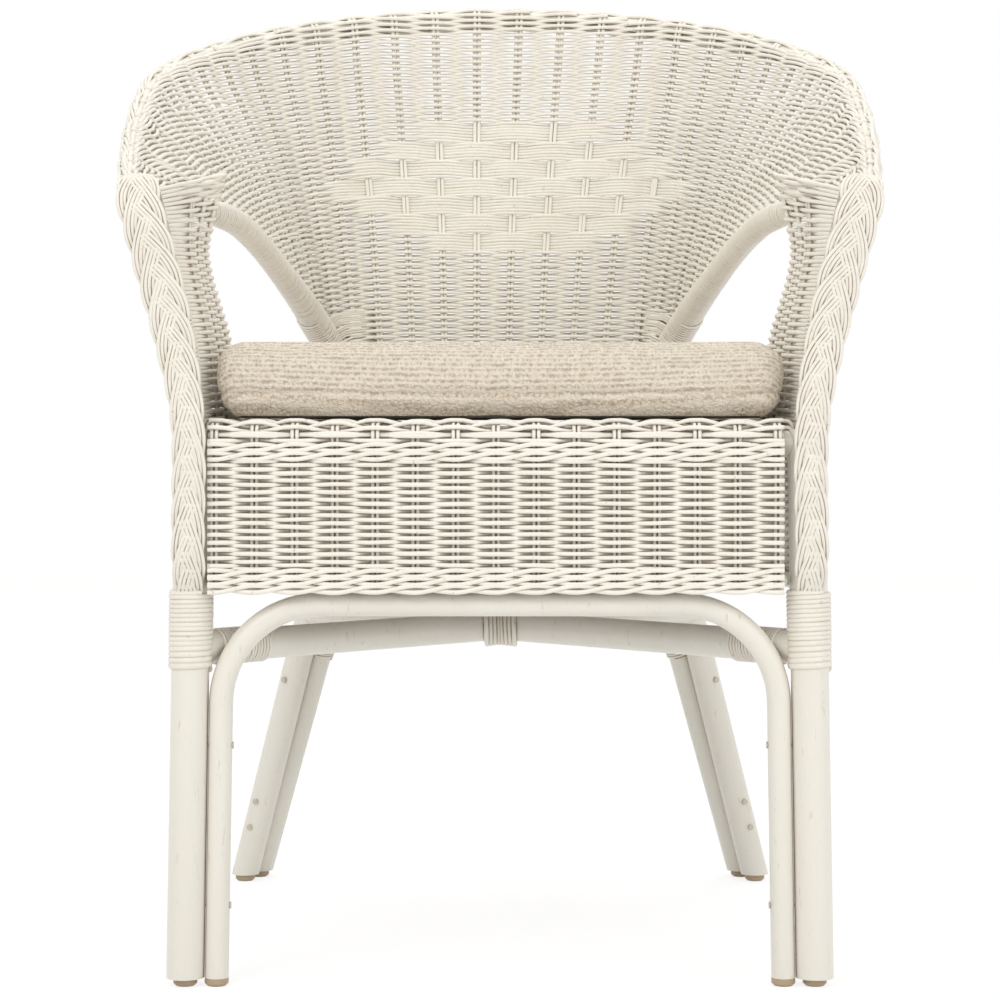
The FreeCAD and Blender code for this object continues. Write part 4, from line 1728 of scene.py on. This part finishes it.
@dataclass
class Bindings:
    """Cane wound on the front legs, on the braces and on the bends of the rear hoop."""

    leg_foot: Vector = field(default_factory=lambda: Vector((236.0, 0, 6.0)))
    leg_top: Vector = field(default_factory=lambda: Vector((229.5, 0, 417.0)))
    leg_radius: float = 14.25
    cane_radius: float = 2.5
    low: float = 237.5
    wide: float = 258.5
    high: float = 295.5
    brace_start: Vector = field(default_factory=lambda: Vector((-232.1, 0.0, 252.5)))
    brace_end: Vector = field(default_factory=lambda: Vector((172.3, 422.4, 252.5)))
    brace_radius: float = 12.2
    hoop_foot: Vector = field(default_factory=lambda: Vector((225.0, 495.4, 6.0)))
    hoop_top: Vector = field(default_factory=lambda: Vector((109.3, 405.1, 416.7)))
    rear_radius: float = 12.25
    hoop_height: float = 247.0
    hoop_bend: float = 50.0
    upper_pitch: float = 3.4
    lower_pitch: float = 4.2
    lower_thickness: float = 1.3
    leg_per_turn: int = 20
    brace_cane_radius: float = 2.1
    cross_loops: int = 8
    cross_pitch: float = 3.3
    cross_per_turn: int = 28
    brace_from: float = 24.0
    brace_to: float = 71.0
    brace_pitch: float = 2.9
    brace_thickness: float = 0.72
    brace_per_turn: int = 24
    rear_cane_radius: float = 1.3
    rear_pitch: float = 2.7
    rear_per_turn: int = 16

    @staticmethod
    def on_line(start: Vector, end: Vector, height: float) -> Vector:
        """The point of a line at a height."""
        return start.lerp(end, (height - start.z) / (end.z - start.z))

    def build_front(self, finish: bpy.types.Material) -> None:
        """Winds the tops of the front legs: narrow turns above, flat wide ones below."""
        strands = Strands("leg_binding_canes", self.cane_radius, 2)
        for side in Side:
            low, wide, high = (side.put(self.on_line(self.leg_foot, self.leg_top, height))
                               for height in (self.low, self.wide, self.high))
            upper = Line([wide, high], Vector((1, 0, 0)))
            wide_radius = self.leg_radius + 0.3
            strands.add(wrap_points(upper, 0.0, upper.length, self.upper_pitch, lambda s: wide_radius,
                                    self.leg_per_turn, side.value))
            lower = Line([low, wide], Vector((1, 0, 0)))
            flat_radius = self.leg_radius - 0.6
            turns = wrap_points(lower, 0.0, lower.length, self.lower_pitch, lambda s: flat_radius,
                                self.leg_per_turn, 9 + side.value)
            strands.add(turns, [self.lower_thickness] * len(turns))
        dress(strands.build(), finish, ("leg_bindings",))

    def build_braces(self, finish: bpy.types.Material) -> None:
        """Winds the crossing of the braces and their front ends."""
        strands = Strands("brace_binding_canes", self.brace_cane_radius, 2)
        along = (self.brace_end - self.brace_start).normalized()
        lean = along.y / along.x
        share = -self.brace_start.x / (self.brace_end.x - self.brace_start.x)
        middle = self.brace_start.lerp(self.brace_end, share)
        points = []
        for i in range(self.cross_loops * self.cross_per_turn + 1):
            turn = i / self.cross_per_turn
            off = (turn - self.cross_loops / 2) * self.cross_pitch
            reach = self.brace_radius / along.x + 1.0 + (abs(off) + 1.7) * lean
            deep = (self.brace_radius + 2.6) / math.sqrt(1 - (off * lean / reach) ** 2)
            angle = TURN * turn
            points.append(place(middle + Vector((off, reach * math.cos(angle), deep * math.sin(angle)))))
        strands.add(points)
        for side in Side:
            ends = [side.put(on_left(point)) for point in (self.brace_start, self.brace_end)]
            line = Line(ends, Vector((0, 0, 1)))
            radius = self.brace_radius + 0.4
            turns = wrap_points(line, self.brace_from, self.brace_to, self.brace_pitch, lambda s: radius,
                                self.brace_per_turn, side.value)
            strands.add(turns, [self.brace_thickness] * len(turns))
        dress(strands.build(), finish, ("brace_bindings",))

    def build_rear(self, finish: bpy.types.Material) -> None:
        """Winds fine cane on the bends of the rear hoop."""
        strands = Strands("rear_binding_canes", self.rear_cane_radius)
        shoulder = self.on_line(self.hoop_foot, self.hoop_top, self.hoop_height)
        down = (self.hoop_foot - shoulder).normalized()
        trim = self.hoop_bend * math.tan(math.acos(down.x) / 2)
        for side in Side:
            inner = side.put(shoulder + Vector((-trim, 0, 0)))
            outer = side.put(shoulder + down * trim)
            path = [bent(inner, side.put(shoulder), outer, t) for t in spread(0.0, 1.0, 12)]
            line = Line(path, Vector((0, 0, 1)))
            radius = self.rear_radius + 0.7
            strands.add(wrap_points(line, 0.0, line.length, self.rear_pitch, lambda s: radius,
                                    self.rear_per_turn, side.value))
        dress(strands.build(), finish)

    def build(self, finishes: Finishes) -> None:
        """Makes every binding."""
        self.build_front(finishes.wound)
        self.build_braces(finishes.wound)
        self.build_rear(finishes.wound)


# Cushion


@dataclass
class Cushion:
    """Loose seat cushion with a looped cover and a dark underside cloth, whose colour paints the shadow line
    under the cushion.
    """

    front_half: float = 225.0
    rear_half: float = 141.0
    front_y: float = -3.0
    rear_y: float = 392.0
    corner: float = 25.0
    low: float = 426.8
    high: float = 481.5
    shrink: float = 1.0
    voxel: float = 0.005
    cap: float = 0.007
    middle_y: float = 195.0
    waist: float = 3.0
    top_round: float = 0.014
    low_round: float = 0.024
    seam: float = 0.4435
    seam_half: float = 0.0022
    seam_depth: float = 0.0022
    pressure: float = 4.0
    blow_frames: int = 20
    base_low: float = 425.6
    base_thick: float = 2.2
    base_inset: float = 22.0

    def outline(self, inset: float) -> list[Vector]:
        """Rounded plan of the cushion.

        Args:
            inset: how far it lies inside the full size.

        Returns:
            Points round the plan, in drawn millimetres.
        """
        corners = [
            Vector((-self.front_half + inset, self.front_y + inset, 0)),
            Vector((self.front_half - inset, self.front_y + inset, 0)),
            Vector((self.rear_half - inset, self.rear_y - inset, 0)),
            Vector((-self.rear_half + inset, self.rear_y - inset, 0)),
        ]
        points = []
        for i, corner in enumerate(corners):
            before = (corners[i - 1] - corner).normalized()
            after = (corners[(i + 1) % 4] - corner).normalized()
            trim = self.corner
            start = corner + after * trim
            points += [bent(corner + before * trim, corner, start, t) for t in spread(0.0, 1.0, 6)]
            target = corners[(i + 1) % 4] + (corner - corners[(i + 1) % 4]).normalized() * trim
            for t in spread(0.0, 1.0, 8)[1:-1]:
                pull = self.waist * math.sin(math.pi * t)
                point = start.lerp(target, t)
                points.append(point + (Vector((0, self.middle_y, 0)) - point).normalized() * pull)
        return points

    def slab(self, inset: float, low: float, thickness: float) -> bmesh.types.BMesh:
        """Flat slab over the plan, with its outer sides as faces."""
        bm = bmesh.new()
        ring = [bm.verts.new(place(point + Vector((0, 0, low)))) for point in self.outline(inset)]
        grown = bmesh.ops.extrude_face_region(bm, geom=[bm.faces.new(ring)])
        top = [v for v in grown["geom"] if isinstance(v, bmesh.types.BMVert)]
        bmesh.ops.translate(bm, verts=top, vec=(0, 0, thickness * MM))
        bmesh.ops.recalc_face_normals(bm, faces=bm.faces)
        return bm

    def block(self) -> bpy.types.Object:
        """Plain block with rounded edges that the cover is blown up from."""
        bm = self.slab(self.shrink, self.low, self.high - self.low - 1.0)
        near_top = (self.high - 8) * MM
        near_foot = (self.low + 2) * MM
        rounded = {"segments": 5, "profile": 0.5, "affect": "EDGES", "material": -1}
        edges = [e for e in bm.edges if all(v.co.z > near_top for v in e.verts)]
        bmesh.ops.bevel(bm, geom=edges, offset=self.top_round, **rounded)
        edges = [e for e in bm.edges if all(v.co.z < near_foot for v in e.verts)]
        bmesh.ops.bevel(bm, geom=edges, offset=self.low_round, **rounded)
        return meshed("cushion_block", bm)

    def inflated(self, block: bpy.types.Object) -> bpy.types.Object:
        """Blows the cover up with a short cloth simulation.

        Args:
            block: the remeshed block.

        Returns:
            The block with its points moved.
        """
        start = [v.co.copy() for v in block.data.vertices]
        cloth = block.modifiers.new("Cloth", "CLOTH")
        cloth.settings.use_pressure = True
        cloth.settings.uniform_pressure_force = self.pressure
        cloth.settings.effector_weights.gravity = 0.0
        cloth.settings.quality = 5
        scene = bpy.context.scene
        for step in range(1, self.blow_frames + 1):
            scene.frame_set(step)
        graph = bpy.context.evaluated_depsgraph_get()
        blown = block.evaluated_get(graph).data
        ends = [v.co.copy() for v in blown.vertices]
        block.modifiers.clear()
        moved = []
        for before, after in zip(start, ends):
            move = after - before
            if move.length > self.cap:
                move *= self.cap / move.length
            moved += list(before + move)
        block.data.vertices.foreach_set("co", moved)
        scene.frame_set(1)
        return block

    def build(self, finishes: Finishes) -> None:
        """Makes the cover and the cloth underneath."""
        block = self.block()
        remesh = block.modifiers.new("Remesh", "REMESH")
        remesh.mode = "VOXEL"
        remesh.voxel_size = self.voxel
        cover = applied(block, "cushion_start")
        cover = self.inflated(cover)
        relax = cover.modifiers.new("Relax", "SMOOTH")
        relax.factor = 0.5
        relax.iterations = 3
        levels = cover.modifiers.new("Subdivision", "SUBSURF")
        levels.levels = 1
        levels.render_levels = 1
        cover = applied(cover, "cushion_cover_cloth")
        self.shape(cover)
        cover.data.shade_smooth()
        dress(cover, finishes.boucle, ("cushion_cover", "cushion_foam"), "cushion")
        self.build_base(finishes)

    def shape(self, cover: bpy.types.Object) -> None:
        """Keeps the cover over the seat, draws the seam in and adds the yarn's unevenness.

        Args:
            cover: the blown up cover.
        """
        low = self.low * MM
        high = (self.high + 1.5) * MM
        middle_y = place(Vector((0, self.middle_y, 0))).y
        spots = [(v.co.copy(), v.normal.copy()) for v in cover.data.vertices]
        values = []
        moved = []
        for co, normal in spots:
            steep = smooth((0.8 - abs(normal.z)) / 0.5)
            pinch = math.exp(-((co.z - self.seam) / self.seam_half) ** 2) * steep
            lump = noise.noise(co * 55.0) * 0.0012 + noise.noise(co * 260.0) * 0.0006
            point = co + normal * (lump - self.seam_depth * pinch)
            moved += [point.x, point.y, min(max(point.z, low), high)]
            values.append(co.z + (co.y if co.y < middle_y else 2 * middle_y - co.y))
        cover.data.vertices.foreach_set("co", moved)
        rib = cover.data.attributes.new("rib", "FLOAT", "POINT")
        rib.data.foreach_set("value", values)
        cover.data.update()

    def build_base(self, finishes: Finishes) -> None:
        """Makes the dark cloth under the cushion, whose near-black colour paints the shadow line there."""
        base = meshed("cushion_base_cloth", self.slab(self.base_inset, self.base_low, self.base_thick))
        dress(base, finishes.dark_cloth_painted_shadow, ("cushion_base",), "cushion")


# Poles, glides and nails


class Frame:
    """Solids that show as they are, with their finishes."""

    def build(self, finishes: Finishes) -> None:
        """Gives every shown solid its material."""
        for name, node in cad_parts.items():
            if node.hide_render:
                continue
            material = finishes.pole
            if name == "foot_glides":
                material = finishes.glide
            elif name == "frame_nails":
                material = finishes.nail
            node.data.materials.clear()
            node.data.materials.append(material)
            log.info("%s: solid kept", name)


# Floor, light and camera


@dataclass
class Studio:
    """White floor, soft light and the camera of the photograph."""

    distance: float = 2.0
    height: float = 0.4125
    lens: float = 96.0
    sensor: float = 36.0
    shift_y: float = -0.065
    world_light: float = 0.74
    floor_share: float = 0.7
    floor_glow: float = 1.15

    def build_floor(self) -> None:
        """Makes the pale floor, which shows white and keeps a faint shadow."""
        bm = bmesh.new()
        bmesh.ops.create_grid(bm, x_segments=1, y_segments=1, size=6.0)
        floor = meshed("floor", bm)
        shader = Shader("floor")
        grain = shader.speckle(3.0)
        color = shader.mixed(grain, (0.86, 0.86, 0.86), (0.9, 0.9, 0.9))
        diffuse = shader.node("BsdfDiffuse", None, 0, Color=color)
        glow = shader.node("Emission", None, 0, Color=(1, 1, 1, 1), Strength=self.floor_glow)
        camera = shader.node("LightPath", None, "Is Camera Ray")
        glossy = shader.node("LightPath", None, "Is Glossy Ray")
        share = camera * self.floor_share + glossy * 0.9
        mix = shader.node("MixShader", None, 0, i0=share, i1=diffuse, i2=glow)
        floor.data.materials.append(shader.finish(mix))

    def build_world(self) -> None:
        """Makes the surroundings: white where they show, plain light elsewhere."""
        world = bpy.data.worlds.new("surroundings")
        bpy.context.scene.world = world
        world.use_nodes = True
        tree = world.node_tree
        tree.nodes.clear()
        output = tree.nodes.new("ShaderNodeOutputWorld")
        path = tree.nodes.new("ShaderNodeLightPath")
        mix = tree.nodes.new("ShaderNodeMixShader")
        rays = [Wire(tree, path.outputs["Is %s Ray" % kind]) for kind in ("Camera", "Glossy", "Transmission")]
        tree.links.new((rays[0] + rays[1] + rays[2]).output, mix.inputs[0])
        lights = (((1.0, 0.985, 0.96, 1), self.world_light), ((1, 1, 1, 1), 1.0))
        for socket, (color, strength) in zip(mix.inputs[1:], lights):
            light = tree.nodes.new("ShaderNodeBackground")
            light.inputs["Color"].default_value = color
            light.inputs["Strength"].default_value = strength
            tree.links.new(light.outputs[0], socket)
        tree.links.new(mix.outputs[0], output.inputs["Surface"])

    def lamp(self, name: str, spot: Vector, aim: Vector, size: float, power: float, warmth: Color) -> None:
        """Adds a soft square lamp.

        Args:
            name: its name.
            spot: where it hangs.
            aim: what it points at.
            size: length of its sides.
            power: watts.
            warmth: its color.
        """
        light = bpy.data.lights.new(name, "AREA")
        light.shape = "SQUARE"
        light.size = size
        light.energy = power
        light.color = warmth
        lamp = added(name, light)
        lamp.location = spot
        lamp.rotation_euler = (aim - spot).to_track_quat("-Z", "Y").to_euler()

    def build_camera(self) -> None:
        """Sets the camera level before the chair, at the photograph's distance."""
        camera = bpy.data.cameras.new("camera")
        camera.lens = self.lens
        camera.sensor_width = self.sensor
        camera.sensor_fit = "HORIZONTAL"
        camera.shift_y = self.shift_y
        holder = added("camera", camera)
        holder.location = (0.0, DRAWN_SHIFT * MM - self.distance, self.height)
        holder.rotation_euler = (math.pi / 2, 0.0, 0.0)
        bpy.context.scene.camera = holder

    def build(self) -> None:
        """Makes floor, light and camera."""
        self.build_camera()
        self.build_floor()
        self.build_world()
        middle = Vector((0, 0, 0.45))
        self.lamp("key", Vector((-1.5, -2.4, 2.3)), middle, 1.6, 27.0, (1.0, 0.985, 0.96))
        self.lamp("fill", Vector((1.8, -2.2, 1.3)), middle, 1.8, 15.0, (1.0, 0.99, 0.975))
        self.lamp("top", Vector((0.0, 0.6, 2.6)), middle, 1.6, 12.0, (1.0, 0.99, 0.975))
        bpy.context.scene.view_settings.view_transform = "Standard"


def main() -> None:
    """Builds the chair in order."""
    logging.basicConfig(level=logging.INFO, format="%(relativeCreated)d ms %(message)s")
    Studio().build()
    finishes = Finishes()
    shell = BackShell()
    shell.build_rows(finishes.shell)
    shell.build_stakes(finishes.shell)
    RimPlait(shell.form).build(finishes.cane)
    for side in Side:
        SlantingRoll(side, shell.form).build(finishes.wound)
        ArmFront(side).build(finishes)
    Apron().build(finishes)
    Bindings().build(finishes)
    Cushion().build(finishes)
    Frame().build(finishes)


if __name__ == "__main__":
    main()
